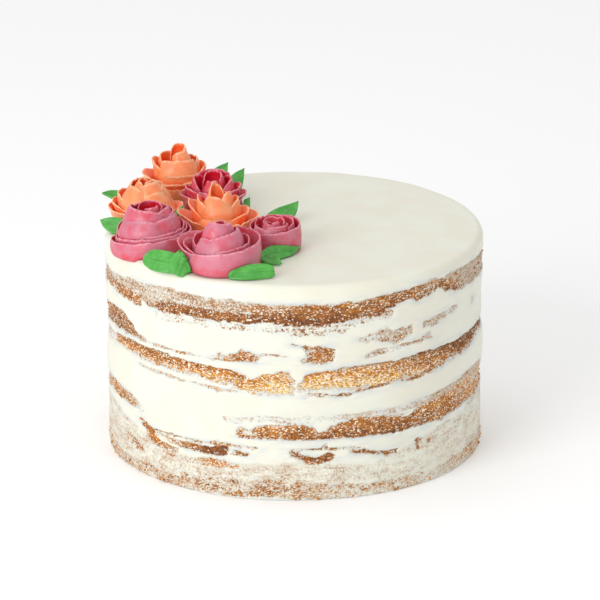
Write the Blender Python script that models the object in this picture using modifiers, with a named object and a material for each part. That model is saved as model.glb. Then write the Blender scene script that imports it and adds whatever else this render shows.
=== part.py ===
"""A naked layer cake, 215 mm across, with seven piped buttercream roses and ten leaves on top.

Three sponge layers are stacked with two thin fillings under a cap of cream, and a thin coat of cream is
scraped round the middle of each sponge. The scene is in metres with +Z up, the origin is at the centre of
the flat base and -Y is the front. Angles are in degrees from the front towards +X. The tables of roses and
leaves are in millimetres, with heights counted from the cake's top.
"""

import math

import bmesh
import bpy
import numpy as np

MM = 0.001

# The cake, in metres
CAKE_RADIUS = 107.5 * MM
CAKE_HEIGHT = 127.2 * MM
GAP = 0.3 * MM  # between pieces that lie against each other
SIDE_STEPS = 40  # facets round the cake
RIM_ROUNDING = 4.0 * MM
RIM_STEPS = 3

# Heights at which the layers meet, in metres
BOTTOM_SPONGE_TOP = 31.0 * MM
LOWER_FILLING_TOP = 35.5 * MM
MIDDLE_SPONGE_TOP = 77.0 * MM
UPPER_FILLING_TOP = 81.0 * MM
TOP_SPONGE_TOP = 117.0 * MM

# The scraped side: a sponge's coat lies in a shallow groove round its middle
SPONGE_RADIUS = CAKE_RADIUS - 0.5 * MM
FILLING_RADIUS = CAKE_RADIUS - 0.2 * MM
COAT_THICKNESS = 1.1 * MM
GROOVE_RADIUS = CAKE_RADIUS - COAT_THICKNESS - GAP
EDGE_RUN = 0.8 * MM  # height over which the edge of a coat or a groove slopes
LOWER_COAT = (11.0 * MM, 22.5 * MM)
MIDDLE_COAT = (46.5 * MM, 63.5 * MM)
UPPER_COAT = (86.0 * MM, 101.5 * MM)
EDGE_ZONE = 1.5 * EDGE_RUN  # what lies this near to a coat's edge moves with it
EDGE_WANDER = 2.0 * MM  # how far a coat's edges stray up and down round the cake
WANDER_TURN = 900.0  # turns the wander of each edge by its height, in radians a metre

# Roses, in millimetres and degrees
ROSE_BED = 0.3  # a rose's base over the top
ROSE_FOOT = 0.5  # an outer petal's foot over the base
DEGREES_A_CELL = 30.0  # along a petal
PETAL_ROWS = 2
CORE_STEPS = 10
SQUEEZE_RUN = 3.0  # depth over which a petal yields to the next rose
MOST_DROOP = 2.2  # how far a rose sags over the rim
DROOP_HEIGHT = 14.0  # what stands higher than this over the top doesn't sag

# Leaves, in millimetres
LEAF_CELLS = 7
LEAF_ROWS = 4
LEAF_THICKNESS = 1.3
LEAF_REST = 1.0  # the middle of a leaf stays this far over the top
LEAF_PRESS = 1.2  # and this far outside a rose
PINCH_DEPTH = 2.2
PINCH_WIDTH = 0.06  # as a share of the leaf's length
LEAF_STEM = 0.12  # how far along its full outline a leaf starts
LEAF_NARROWEST = 0.35
LEAF_WAVE = 0.12  # as a share of its half width
PROFILE_LEVELS = 40  # a rose's radius is kept for each millimetre up to this height

PETAL_DEFAULTS = {
    "base": ROSE_FOOT,  # height of the foot
    "tilt": 0.0,  # rise of the lip from one end to the other
    "ends": 0.6,  # height at the ends as a share of the height at the middle
    "arch": 3.0,  # how flat the lip runs before it falls to the ends
    "lean": 1.3,  # how late the petal leans out
    "belly": 1.0,  # how far its face bulges
    "curl": 0.0,  # how far the lip rolls out
    "tuck": 1.5,  # how far the ends draw in
    "spiral": 0.0,  # growth of the radius from one end to the other
    "point": 0.0,  # a peak on the lip
    "point_at": 0.5,
    "dip": 0.0,  # a hollow in the lip
    "dip_at": 0.5,
}
FOOT_THICKNESS = 3.0
LIP_THICKNESS = 1.0
POINT_WIDTH = 0.09  # as a share of the petal's length
DIP_WIDTH = 0.12
CURL_START = 0.65  # share of the height at which the lip starts to roll out
CURL_FALL = 0.4  # how far a rolled lip sinks for each millimetre that it rolls out
ENDS_LEAN = 0.3  # share of its lean and curl that a petal keeps at its ends
ENDS_BELLY = 0.4
# Radius and height down the side of a core, as shares of its own
CORE_SHAPE = ((0.0, 1.0), (0.4, 0.88), (0.7, 0.62), (0.98, 0.3), (1.0, 0.0), (0.0, 0.0))


def petal(middle, sweep, foot, lip, height, **more):
    """A petal: the angle of its middle, its sweep, the radii of its foot and its lip, and its height."""
    named = {"middle": middle, "sweep": sweep, "foot": foot, "lip": lip, "height": height}
    return {**PETAL_DEFAULTS, **named, **more}


# name: centre x, centre y, colour, radius and height of the core, then the main petals from the outside in
ROSES = {
    "rose_pink_front": (-42.0, -74.0, "pink", 16.5, 20.0, [
        petal(35, 240, 19.6, 21.2, 15.0, tilt=9.5, ends=0.86, spiral=2.6, tuck=0.6, arch=5, lean=1.0),
        petal(-118, 130, 16.5, 23.5, 15.5, belly=0.6, tuck=2.0, curl=0.8, lean=1.0),
        petal(25, 230, 14.2, 16.6, 14.8, base=2, tilt=9, ends=0.8, spiral=1.4, lean=1.0),
        petal(0, 205, 12.6, 11.0, 21.3, base=4, tilt=7, ends=0.8, belly=3.0, dip=1.4, dip_at=0.36, arch=4),
        petal(190, 160, 10.6, 9.5, 22.0, base=8, belly=2.0),
        petal(-30, 240, 8.0, 5.2, 27.2, base=12, ends=0.82, belly=2.4, tilt=0.5),
    ]),
    "rose_pink_left": (-82.0, -38.0, "pink", 18.5, 20.0, [
        petal(20, 280, 21.8, 23.0, 10.0, tilt=9, ends=0.92, belly=0.8, spiral=0.6, tuck=0.6, arch=5, lean=1),
        petal(200, 120, 20.0, 21.0, 12.0, ends=0.7),
        petal(15, 270, 19.0, 21.2, 11.2, base=1, tilt=7, ends=0.88, spiral=0.6, belly=0.4, lean=1.0),
        petal(-32, 150, 16.6, 14.8, 19.0, base=3, tilt=2.5, ends=0.66, belly=2.6, arch=2.6),
        petal(62, 140, 15.6, 14.4, 20.6, base=3, tilt=-1, belly=2.2),
        petal(190, 190, 13.4, 12.4, 22.6, base=7, belly=2.0),
        petal(-45, 190, 13.6, 11.0, 24.8, base=7, ends=0.82, belly=2.4, tilt=-1.0),
        petal(170, 190, 8.6, 7.2, 25.2, base=12, ends=0.8, belly=1.6),
    ]),
    "rose_pink_right": (-12.0, -39.0, "pink", 12.5, 12.0, [
        petal(35, 250, 14.2, 14.8, 13.2, tilt=6, ends=0.92, belly=0.5, spiral=0.6, tuck=0.6, arch=5, lean=1),
        petal(-150, 140, 13.5, 14.2, 14.0, ends=0.8, belly=0.8),
        petal(160, 210, 11.6, 11.8, 15.5, base=4, ends=0.85, belly=0.8),
        petal(-40, 150, 10.8, 10.6, 13.6, base=5, ends=0.85, belly=0.6),
        petal(170, 190, 7.4, 6.6, 16.0, base=5, ends=0.85, belly=0.6),
    ]),
    "rose_pink_back": (-47.5, 28.0, "pink", 14.0, 14.0, [
        petal(0, 200, 16.0, 18.5, 9.5, ends=0.7, spiral=0.6),
        petal(180, 190, 16.0, 18.5, 12.0, ends=0.7, spiral=0.6),
        petal(-60, 130, 13.0, 18.5, 12.5, base=2, belly=0.8, curl=1.0),
        petal(70, 120, 13.0, 18.5, 13.0, base=2, belly=0.8, curl=1.2),
        petal(175, 150, 11.5, 13.5, 21.0, base=3, belly=1.5),
        petal(-110, 110, 9.0, 11.0, 20.0, base=5, ends=0.55, belly=1.8),
        petal(100, 120, 9.0, 11.0, 20.0, base=5, ends=0.55, belly=2.0),
        petal(165, 190, 6.0, 5.6, 22.6, base=9, ends=0.7, belly=1.8),
    ]),
    "rose_orange_centre": (-43.5, -16.0, "orange", 13.0, 18.0, [
        petal(-75, 120, 13.0, 23.0, 14.4, base=1.5, ends=0.5, belly=-0.8, curl=0.8, lean=0.9),
        petal(75, 150, 13.5, 21.6, 12.6, base=1.0, ends=0.62, belly=1.4, curl=0.8, lean=1.0, arch=4),
        petal(180, 130, 13.5, 19.5, 13.0, ends=0.5, belly=0.8, curl=1.0),
        petal(90, 120, 11.0, 17.0, 15.8, base=4, ends=0.55, belly=1.4, curl=0.6),
        petal(-95, 105, 10.5, 16.5, 19.5, base=3, ends=0.4, belly=0.2, curl=0.4, point=1.4, lean=1.0),
        petal(-80, 110, 9.4, 11.2, 22.6, base=5, ends=0.5, belly=1.8, curl=0.6),
        petal(95, 120, 9.8, 10.6, 22.6, base=6, ends=0.5, belly=2.0, curl=0.6),
        petal(-5, 200, 9.6, 6.6, 24.4, base=6, ends=0.7, belly=3.2),
        petal(-155, 150, 6.0, 4.8, 28.6, base=10, ends=0.65, belly=1.6, point=1.8),
    ]),
    "rose_orange_left": (-85.0, 9.6, "orange", 16.0, 20.0, [
        petal(-75, 130, 17.0, 20.8, 10.0, belly=1.2, curl=1.0),
        petal(55, 150, 15.5, 20.0, 7.5, base=1.0, curl=1.2),
        petal(180, 160, 15.5, 19.0, 11.0),
        petal(-85, 110, 15.0, 19.0, 13.0, base=2, ends=0.55, belly=1.2, curl=0.8),
        petal(80, 110, 13.5, 20.0, 11.0, base=2, ends=0.5, curl=1.0),
        petal(30, 165, 14.4, 10.8, 19.5, base=2, ends=0.46, belly=3.8, arch=2.0, tilt=1),
        petal(-55, 150, 13.4, 8.5, 22.0, base=4, ends=0.5, belly=4.0, arch=2.2),
        petal(-150, 150, 11.5, 9.0, 23.4, base=6, belly=2.8),
        petal(55, 190, 9.6, 5.6, 24.0, base=8, ends=0.8, belly=3.0),
    ]),
    "rose_orange_back": (-68.5, 60.0, "orange", 14.0, 19.0, [
        petal(-60, 150, 15.5, 19.5, 9.0, base=1.0, curl=1.2),
        petal(55, 150, 15.0, 18.5, 9.5, base=1.0, curl=1.2),
        petal(180, 160, 15.0, 18.0, 11.0),
        petal(-78, 120, 13.0, 19.0, 14.5, base=2, belly=0.6, curl=1.2),
        petal(100, 100, 12.0, 15.5, 18.5, base=4, ends=0.5, belly=1.4, curl=1.0),
        petal(20, 160, 11.8, 13.6, 15.6, base=4, curl=1.2),
        petal(-95, 110, 10.5, 13.0, 22.0, base=5, ends=0.55, belly=1.6, curl=1.4),
        petal(10, 170, 11.0, 10.2, 23.2, base=5, ends=0.76, belly=3.2, curl=0.4, arch=4),
        petal(-130, 130, 9.5, 9.5, 24.0, base=7, belly=2.0, curl=0.6),
        petal(150, 190, 5.4, 4.8, 29.4, base=12, ends=0.7, belly=1.4),
    ]),
}

# name: base, bend and tip of the midrib, what its face looks towards, half width, fold, place of a pinch
LEAVES = {
    "leaf_left_back": ((-91, 27, 1.5), (-100, 28, 8.5), (-111, 27, 11.5), (-0.3, -0.5, 1), 5.0, 0.5, None),
    "leaf_left_front": ((-93, -14, 1.6), (-103, -11, 3.6), (-111, -7, 6.2), (-5, -7, 9), 5.4, 0.4, None),
    "leaf_back_left": ((-49, 50, 1.0), (-47, 60, 9), (-39, 68, 17), (0.2, -1, 0.5), 5.6, 0.4, None),
    "leaf_back_right": ((-40, 45, 1.0), (-36, 56, 7), (-29.5, 65, 14.4), (0.4, -1, 0.6), 5.0, 0.4, None),
    "leaf_middle_right": ((-33, 14, 1.0), (-30, 20, 4), (-26, 27, 8.8), (0.4, -0.8, 0.8), 3.6, 0.4, None),
    "leaf_long_right": ((-22, -6, 1.0), (-7, 2, 2), (2, 14, 10.6), (0.2, -0.9, 0.9), 5.8, 0.35, None),
    "leaf_front_right": ((-21, -64, 1.8), (-8, -62, 2.2), (3.2, -46, 2), (0.3, -0.8, 1), 6.0, 0.3, None),
    "leaf_front": ((-11, -88, 3.0), (-20, -94, 4.6), (-40, -94, 1.8), (0, -1, 0.8), 5.6, 0.25, None),
    "leaf_front_left": ((-57, -80, 3.6), (-71, -81, 5.5), (-88, -67, 3.2), (-0.3, -0.7, 0.9), 8.6, 0.1, 0.3),
    "leaf_middle_left": ((-62, -8, 1.0), (-67, -3, 6), (-72, 4, 12), (0.5, -1, 0.6), 4.0, 0.4, None),
}

# Linear colours, and how rough each surface is
FINISHES = {
    "sponge": ((0.56, 0.30, 0.11), 0.9),
    "cream": ((0.86, 0.83, 0.72), 0.5),
    "pink": ((0.62, 0.13, 0.21), 0.45),
    "orange": ((0.93, 0.30, 0.10), 0.45),
    "green": ((0.07, 0.38, 0.08), 0.45),
}


def material(name):
    """The finish of this name, made once."""
    made = bpy.data.materials.get(name)
    if made:
        return made
    colour, roughness = FINISHES[name]
    made = bpy.data.materials.new(name)
    made.use_nodes = True
    shader = made.node_tree.nodes["Principled BSDF"]
    shader.inputs["Base Color"].default_value = (*colour, 1.0)
    shader.inputs["Roughness"].default_value = roughness
    shader.inputs["Metallic"].default_value = 0.0
    return made


def linked(name, mesh, finish, collection):
    made = bpy.data.objects.new(name, mesh)
    mesh.materials.clear()
    mesh.materials.append(material(finish))
    collection.objects.link(made)
    return made


def evaluated_mesh(made):
    """The object's mesh with its modifiers applied. The object goes."""
    graph = bpy.context.evaluated_depsgraph_get()
    mesh = bpy.data.meshes.new_from_object(made.evaluated_get(graph))
    bpy.data.objects.remove(made)
    return mesh


def turned(name, profile, steps, finish, collection, closed=False):
    """Turns a profile of (radius, height), which runs top to bottom on its outer side, round the Z axis."""
    mesh = bpy.data.meshes.new(name)
    edges = [(i, i + 1) for i in range(len(profile) - 1)]
    if closed:
        edges.append((len(profile) - 1, 0))
    mesh.from_pydata([(radius, 0.0, height) for radius, height in profile], edges, [])
    made = linked(name, mesh, finish, collection)
    screw = made.modifiers.new("turn", "SCREW")
    screw.steps = steps
    screw.render_steps = steps
    screw.use_merge_vertices = True
    screw.merge_threshold = 0.01 * MM
    mesh = evaluated_mesh(made)
    return linked(name, mesh, finish, collection)


def wander(angle, height):
    """How far an edge at this height strays up or down at an angle, between -1 and 1."""
    start = WANDER_TURN * height
    slow = 0.55 * np.sin(2.0 * angle + start) + 0.3 * np.sin(5.0 * angle - start)
    return slow + 0.15 * np.sin(9.0 * angle)


def let_edges_wander(made, coat):
    """Moves the rows that border a coat up and down, and leaves the layer's own top and bottom flat."""
    for vertex in made.data.vertices:
        x, y, z = vertex.co
        nearest = min(coat, key=lambda edge: abs(z - edge))
        if math.hypot(x, y) > GROOVE_RADIUS - COAT_THICKNESS and abs(z - nearest) < EDGE_ZONE:
            vertex.co.z += EDGE_WANDER * wander(math.atan2(x, -y), nearest)


def sponge(name, bottom, top, coat, collection):
    """A sponge layer with the groove that its coat lies in."""
    low, high = coat
    made = turned(name, [
        (0.0, top),
        (SPONGE_RADIUS, top),
        (SPONGE_RADIUS, high + EDGE_RUN),
        (GROOVE_RADIUS, high),
        (GROOVE_RADIUS, low),
        (SPONGE_RADIUS, low - EDGE_RUN),
        (SPONGE_RADIUS, bottom),
        (0.0, bottom),
    ], SIDE_STEPS, "sponge", collection)
    let_edges_wander(made, coat)
    return made


def coat(name, edges, collection):
    """The thin ring of cream in a sponge's groove."""
    low, high = edges
    inner = GROOVE_RADIUS + GAP
    made = turned(name, [
        (inner, high - GAP),
        (CAKE_RADIUS, high - GAP - EDGE_RUN),
        (CAKE_RADIUS, low + GAP + EDGE_RUN),
        (inner, low + GAP),
    ], SIDE_STEPS, "cream", collection, closed=True)
    let_edges_wander(made, edges)
    return made


def disc(name, radius, bottom, top, collection):
    """A filling that runs through the cake."""
    profile = [(0.0, top), (radius, top), (radius, bottom), (0.0, bottom)]
    return turned(name, profile, SIDE_STEPS, "cream", collection)


def cap(collection):
    """The cream on top, with a rounded rim."""
    centre = CAKE_RADIUS - RIM_ROUNDING
    profile = [(0.0, CAKE_HEIGHT)]
    for step in range(RIM_STEPS + 1):
        turn = 0.5 * math.pi * step / RIM_STEPS
        radius = centre + RIM_ROUNDING * math.sin(turn)
        profile.append((radius, CAKE_HEIGHT - RIM_ROUNDING * (1.0 - math.cos(turn))))
    profile += [(CAKE_RADIUS, TOP_SPONGE_TOP + GAP), (0.0, TOP_SPONGE_TOP + GAP)]
    return turned("cream_top", profile, SIDE_STEPS, "cream", collection)


def cake(collection):
    sponge("sponge_bottom", 0.0, BOTTOM_SPONGE_TOP, LOWER_COAT, collection)
    coat("coat_lower", LOWER_COAT, collection)
    disc("filling_lower", FILLING_RADIUS, BOTTOM_SPONGE_TOP + GAP, LOWER_FILLING_TOP, collection)
    sponge("sponge_middle", LOWER_FILLING_TOP + GAP, MIDDLE_SPONGE_TOP, MIDDLE_COAT, collection)
    coat("coat_middle", MIDDLE_COAT, collection)
    disc("filling_upper", FILLING_RADIUS, MIDDLE_SPONGE_TOP + GAP, UPPER_FILLING_TOP, collection)
    sponge("sponge_top", UPPER_FILLING_TOP + GAP, TOP_SPONGE_TOP, UPPER_COAT, collection)
    coat("coat_upper", UPPER_COAT, collection)
    cap(collection)


def smooth(share):
    share = np.clip(share, 0.0, 1.0)
    return share * share * (3.0 - 2.0 * share)


def rim_drop(distance):
    """How far the cap's surface lies under its flat top at this distance from the cake's axis."""
    rounding = RIM_ROUNDING / MM
    out = np.clip(distance - (CAKE_RADIUS - RIM_ROUNDING) / MM, 0.0, rounding)
    return rounding - np.sqrt(rounding**2 - out**2)


def petal_points(p, u, v):
    """Points of a petal's middle surface round its rose's axis: u runs along it and v from foot to lip."""
    side = 2.0 * u - 1.0
    end = np.abs(side)
    arch = 1.0 - end ** p["arch"]
    angle = np.radians(p["middle"] + 0.5 * p["sweep"] * side)
    shift = p["spiral"] * side - p["tuck"] * end**2.5
    foot = p["foot"] + shift
    outer = ENDS_LEAN + (1.0 - ENDS_LEAN) * arch
    lip = p["foot"] + (p["lip"] - p["foot"]) * outer + shift
    lip_z = p["base"] + (p["height"] - p["base"]) * (p["ends"] + (1.0 - p["ends"]) * arch)
    lip_z = lip_z + 0.5 * p["tilt"] * side
    lip_z = lip_z + p["point"] * np.exp(-(((u - p["point_at"]) / POINT_WIDTH) ** 2))
    lip_z = lip_z - p["dip"] * np.exp(-(((u - p["dip_at"]) / DIP_WIDTH) ** 2))
    curl = p["curl"] * smooth((v - CURL_START) / (1.0 - CURL_START)) ** 1.3 * outer
    bulge = p["belly"] * np.sin(math.pi * v) * (ENDS_BELLY + (1.0 - ENDS_BELLY) * arch)
    radius = foot + (lip - foot) * v ** p["lean"] + bulge + curl
    height = p["base"] + (lip_z - p["base"]) * v - CURL_FALL * curl
    return np.stack([radius * np.sin(angle), -radius * np.cos(angle), height], axis=-1)


def petal_thickness(p, u, v):
    end = np.abs(2.0 * u - 1.0)
    return (FOOT_THICKNESS * (1.0 - v) + LIP_THICKNESS * v) * (0.3 + 0.7 * (1.0 - end**4))


def reach(name):
    """The radius of a rose at its widest."""
    return max(p["lip"] + p["curl"] + LIP_THICKNESS for p in ROSES[name][5])


def settled(points, name):
    """Moves a rose's points into place: they yield to the roses beside it and sag over the rim."""
    x0, y0 = ROSES[name][:2]
    points = points + np.array([x0, y0, 0.0])
    for other, (x1, y1, *_) in ROSES.items():
        apart = math.hypot(x1 - x0, y1 - y0)
        if other == name or apart > reach(name) + reach(other) + 2.0 * SQUEEZE_RUN:
            continue
        towards = np.array([x1 - x0, y1 - y0]) / apart
        limit = apart * reach(name) / (reach(name) + reach(other)) - 0.5 * GAP / MM
        along = (points[..., :2] - (x0, y0)) @ towards
        over = np.maximum(along - (limit - SQUEEZE_RUN), 0.0)
        yielded = over - SQUEEZE_RUN * (1.0 - np.exp(-over / SQUEEZE_RUN))
        points[..., :2] -= yielded[..., None] * towards
    droop = np.minimum(rim_drop(np.hypot(points[..., 0], points[..., 1])), MOST_DROOP)
    points[..., 2] += ROSE_BED - droop * (1.0 - smooth(points[..., 2] / DROOP_HEIGHT))
    return points


def sheet(name, cells, rows, place, thickness, finish, collection):
    """A closed thin piece: a grid whose points place(u, v) gives, thickened evenly on both sides."""
    grid = bmesh.new()
    bmesh.ops.create_grid(grid, x_segments=cells, y_segments=rows, size=0.5)
    share = np.array([vertex.co[:2] for vertex in grid.verts]) + 0.5
    u, v = share[:, 0], share[:, 1]
    for vertex, point in zip(grid.verts, place(u, v)):
        vertex.co = point * MM + np.array([0.0, 0.0, CAKE_HEIGHT])
    mesh = bpy.data.meshes.new(name)
    grid.to_mesh(mesh)
    grid.free()
    made = linked(name, mesh, finish, collection)
    thick = thickness(u, v)
    group = made.vertex_groups.new(name="thickness")
    for index, value in enumerate(thick / thick.max()):
        group.add([index], float(value), "REPLACE")
    split = made.modifiers.new("split", "TRIANGULATE")
    split.quad_method = "FIXED"
    solid = made.modifiers.new("thicken", "SOLIDIFY")
    solid.thickness = thick.max() * MM
    solid.offset = 0.0
    solid.vertex_group = "thickness"
    mesh = evaluated_mesh(made)
    return linked(name, mesh, finish, collection)


def largest_body(mesh):
    """Drops the loose scraps of a mesh, and with them the faces of any hollow that is sealed inside it."""
    shape = bmesh.new()
    shape.from_mesh(mesh)
    left = set(shape.verts)
    bodies = []
    while left:
        front = [left.pop()]
        body = set(front)
        while front:
            near = {edge.other_vert(vertex) for vertex in front for edge in vertex.link_edges}
            front = near - body
            body |= front
        left -= body
        bodies.append(body)
    keep = max(bodies, key=len)
    bmesh.ops.delete(shape, geom=[vertex for vertex in shape.verts if vertex not in keep], context="VERTS")
    shape.to_mesh(mesh)
    shape.free()


def fused(name, core, petals, finish, collection):
    """Joins a core with its petals in one Boolean union, which is applied."""
    union = core.modifiers.new("petals", "BOOLEAN")
    union.operation = "UNION"
    union.operand_type = "COLLECTION"
    union.collection = petals
    union.solver = "EXACT"
    mesh = evaluated_mesh(core)
    largest_body(mesh)
    for made in list(petals.objects):
        bpy.data.objects.remove(made)
    bpy.data.collections.remove(petals)
    return linked(name, mesh, finish, collection)


def rose(name, collection):
    x, y, colour, radius, height, table = ROSES[name]
    petals = bpy.data.collections.new("petals")
    bpy.context.scene.collection.children.link(petals)
    for number, p in enumerate(table):
        sheet(
            f"petal_{number}",
            math.ceil(p["sweep"] / DEGREES_A_CELL),
            PETAL_ROWS,
            lambda u, v, p=p: settled(petal_points(p, u, v), name),
            lambda u, v, p=p: petal_thickness(p, u, v),
            colour,
            petals,
        )
    bottom = CAKE_HEIGHT + ROSE_BED * MM
    profile = [(out * radius * MM, bottom + up * height * MM) for out, up in CORE_SHAPE]
    core = turned("core", profile, CORE_STEPS, colour, collection)
    core.location = (x * MM, y * MM, 0.0)
    core.data.transform(core.matrix_basis)
    core.location = (0.0, 0.0, 0.0)
    return fused(name, core, petals, colour, collection)


def rose_profile(name):
    """The rose's radius for each millimetre of height."""
    u, v = (axis.ravel() for axis in np.meshgrid(np.linspace(0, 1, 40), np.linspace(0, 1, 20)))
    radii = np.zeros(PROFILE_LEVELS)
    radii[:4] = ROSES[name][3]
    for p in ROSES[name][5]:
        points = petal_points(p, u, v)
        thick = 0.5 * petal_thickness(p, u, v)
        level = np.clip(np.round(points[:, 2]).astype(int), 0, PROFILE_LEVELS - 2)
        for shift in (0, 1):
            np.maximum.at(radii, level + shift, np.hypot(points[:, 0], points[:, 1]) + thick)
    return radii


PROFILES = {name: rose_profile(name) for name in ROSES}


def leaf_points(p, u, v):
    """Points of a leaf's middle surface, laid on the cake and against the roses."""
    base, bend, tip, face, half, fold, pinch = p
    base, bend, tip, face = (np.array(point, float) for point in (base, bend, tip, face))
    u = u[..., None]
    side = 2.0 * v[..., None] - 1.0
    middle = (1.0 - u) ** 2 * base + 2.0 * u * (1.0 - u) * bend + u**2 * tip
    along = (1.0 - u) * (bend - base) + u * (tip - bend)
    along /= np.linalg.norm(along, axis=-1, keepdims=True)
    across = np.cross(along, face)
    across /= np.linalg.norm(across, axis=-1, keepdims=True)
    up = np.cross(across, along)
    outline = np.sin(math.pi * (LEAF_STEM + (1.0 - LEAF_STEM) * u) ** 0.9) ** 0.75
    width = np.maximum(half * outline, LEAF_NARROWEST)
    wave = LEAF_WAVE * np.sin(9.0 * u + 2.0 * side + half) * np.abs(side)
    lift = width * (fold * np.abs(side) ** 1.2 + wave)
    if pinch is not None:
        lift = lift - PINCH_DEPTH * np.exp(-(((u - pinch) / PINCH_WIDTH) ** 2))
    points = middle + across * side * width + up * lift
    return pressed(points)


def pressed(points):
    """Keeps a leaf's points over the cake and outside the roses, which they lie against."""
    for name, (x, y, *_) in ROSES.items():
        away = points[..., :2] - (x, y)
        distance = np.maximum(np.linalg.norm(away, axis=-1), 0.1)
        level = np.clip(points[..., 2], 0, PROFILE_LEVELS - 2)
        wall = np.interp(level, np.arange(PROFILE_LEVELS), PROFILES[name]) + LEAF_PRESS
        push = np.maximum(wall - distance, 0.0) / distance
        points[..., :2] += away * push[..., None]
    bed = LEAF_REST - rim_drop(np.hypot(points[..., 0], points[..., 1]))
    points[..., 2] = np.maximum(points[..., 2], bed)
    return points


def leaf_thickness(u, v):
    side = 2.0 * v - 1.0
    return LEAF_THICKNESS * (1.0 - 0.5 * side**2) * (0.5 + 0.5 * np.sin(math.pi * (0.15 + 0.7 * u)))


def leaf(name, collection):
    return sheet(
        name,
        LEAF_CELLS,
        LEAF_ROWS,
        lambda u, v: leaf_points(LEAVES[name], u, v),
        leaf_thickness,
        "green",
        collection,
    )


def main():
    for made in list(bpy.data.objects):
        bpy.data.objects.remove(made)
    collection = bpy.data.collections.new("naked_cake")
    bpy.context.scene.collection.children.link(collection)
    cake(collection)
    for name in ROSES:
        rose(name, collection)
    for name in LEAVES:
        leaf(name, collection)


main()
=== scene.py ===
import itertools
import math

import bmesh
import bpy
import numpy as np
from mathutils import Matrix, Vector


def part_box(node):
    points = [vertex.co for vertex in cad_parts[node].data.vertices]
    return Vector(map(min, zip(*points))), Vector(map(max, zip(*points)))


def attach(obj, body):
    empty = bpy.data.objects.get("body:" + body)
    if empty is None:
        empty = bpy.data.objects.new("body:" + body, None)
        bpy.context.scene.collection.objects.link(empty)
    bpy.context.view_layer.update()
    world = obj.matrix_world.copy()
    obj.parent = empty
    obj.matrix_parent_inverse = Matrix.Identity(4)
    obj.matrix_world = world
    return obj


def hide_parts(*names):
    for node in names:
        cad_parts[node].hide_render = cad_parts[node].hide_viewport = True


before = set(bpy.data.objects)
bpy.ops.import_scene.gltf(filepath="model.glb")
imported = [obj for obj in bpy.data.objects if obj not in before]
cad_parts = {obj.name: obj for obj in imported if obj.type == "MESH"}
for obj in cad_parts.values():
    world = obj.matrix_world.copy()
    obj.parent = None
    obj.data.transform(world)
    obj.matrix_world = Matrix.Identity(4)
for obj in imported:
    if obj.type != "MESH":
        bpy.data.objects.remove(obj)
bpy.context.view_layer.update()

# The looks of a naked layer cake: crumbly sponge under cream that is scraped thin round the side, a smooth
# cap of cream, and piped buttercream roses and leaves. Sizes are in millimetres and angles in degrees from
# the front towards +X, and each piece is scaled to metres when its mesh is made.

MM = 0.001


def box(node):
    """The lowest and highest corner of a node, in millimetres."""
    return [np.array(corner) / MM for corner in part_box(node)]


def meeting(lower, upper):
    """The height halfway between two layers that lie on each other."""
    return 0.5 * (box(lower)[1][2] + box(upper)[0][2])


# The cake
CAKE_RADIUS = box("cream_top")[1][0]
CAKE_TOP = box("cream_top")[1][2]
LOWER_SPONGE_TOP = meeting("sponge_bottom", "filling_lower")
LOWER_FILLING_TOP = meeting("filling_lower", "sponge_middle")
MIDDLE_SPONGE_TOP = meeting("sponge_middle", "filling_upper")
UPPER_FILLING_TOP = meeting("filling_upper", "sponge_top")
UPPER_SPONGE_TOP = meeting("sponge_top", "cream_top")
RIM_ROUNDING = 4.0
CELL = 0.8  # the side's grid
COLUMNS = int(2.0 * math.pi * CAKE_RADIUS / CELL)

# Cream and crumb on the side
CREAM_OVER = 0.45  # the cream's face over the nominal radius, where nothing is scraped off
CREAM_UNDER = 1.25  # and how far it lies under the nominal radius where the sponge is bare
SPONGE_UNDER = 0.5
CRUMB_RELIEF = 0.4
SKIN_DEPTH = 3.0
EDGE_FRAY = 1.0  # how far the edges of bare sponge stray
ANGLE_STRAY = 1.2  # degrees by which its ends stray
END_RUN = 1.6  # degrees over which a bare stretch starts and ends
FACE_UNDER = 0.1  # how far the side lies within the cake's radius, before its lumps
FOOT_ROUNDING = 1.6
FOOT_DRAW = 0.5 * FOOT_ROUNDING  # how far the side draws in at its foot
FOOT_START = 0.3

# Unevenness: the amount, the size of the lumps and the start of each noise in it
LOW_EDGE = [(0.7, (6.0, 6.0, 2.5), 1.3), (0.6, 2.2, 2.7)]
HIGH_EDGE = [(0.6, (7.0, 7.0, 3.0), 8.9), (0.5, 2.0, 3.9)]
FACE_LUMPS = [(0.35, 40.0, 0.0), (0.2, (16.0, 16.0, 7.0), 0.0)]
KNIFE_STROKES = [(0.10, (14.0, 14.0, 1.1), 4.4), (0.06, (5.0, 5.0, 0.8), 6.1)]
CRUMB_LUMPS = [(0.6, 2.4, 0.7), (0.5, 1.3, 9.3)]
TOP_WAVES = [(0.22, 30.0, 0.0), (0.10, (12.0, 4.0, 10.0), 3.3)]

# Loose crumbs
CRUMBS = 900
CRUMB_TRIES = 40 * CRUMBS  # places drawn, few of which are bare
CRUMB_HEIGHTS = (0.4, 118.0)
LOW_CRUMBS = 0.3  # share of the crumbs that gather low down
LOW_CROWDING = 0.12  # and what their heights are multiplied by
CRUMB_SIZES = (0.3, 0.75)
CRUMB_SHAPES = (0.6, 1.25)
CRUMB_TONES = (-0.3, 0.3)
LARGE_UNDER = 4.0  # height under which crumbs are larger by half

# Slow swells of the side: angle, height, width in degrees, width in height, amount
SWELLS = [
    (-85, 112, 35, 30, 1.2),
    (-85, 72, 35, 9, -0.7),
    (-85, 48, 35, 10, 0.4),
    (86, 112, 30, 12, 0.5),
    (86, 88, 30, 14, -0.9),
    (86, 60, 30, 8, 0.5),
    (86, 40, 30, 9, -0.6),
]


# Noise

LATTICE_SIZE = 64
LATTICE = np.random.default_rng(7).uniform(-1.0, 1.0, (LATTICE_SIZE,) * 3)


def smooth(share):
    share = np.clip(share, 0.0, 1.0)
    return share * share * (3.0 - 2.0 * share)


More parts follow.
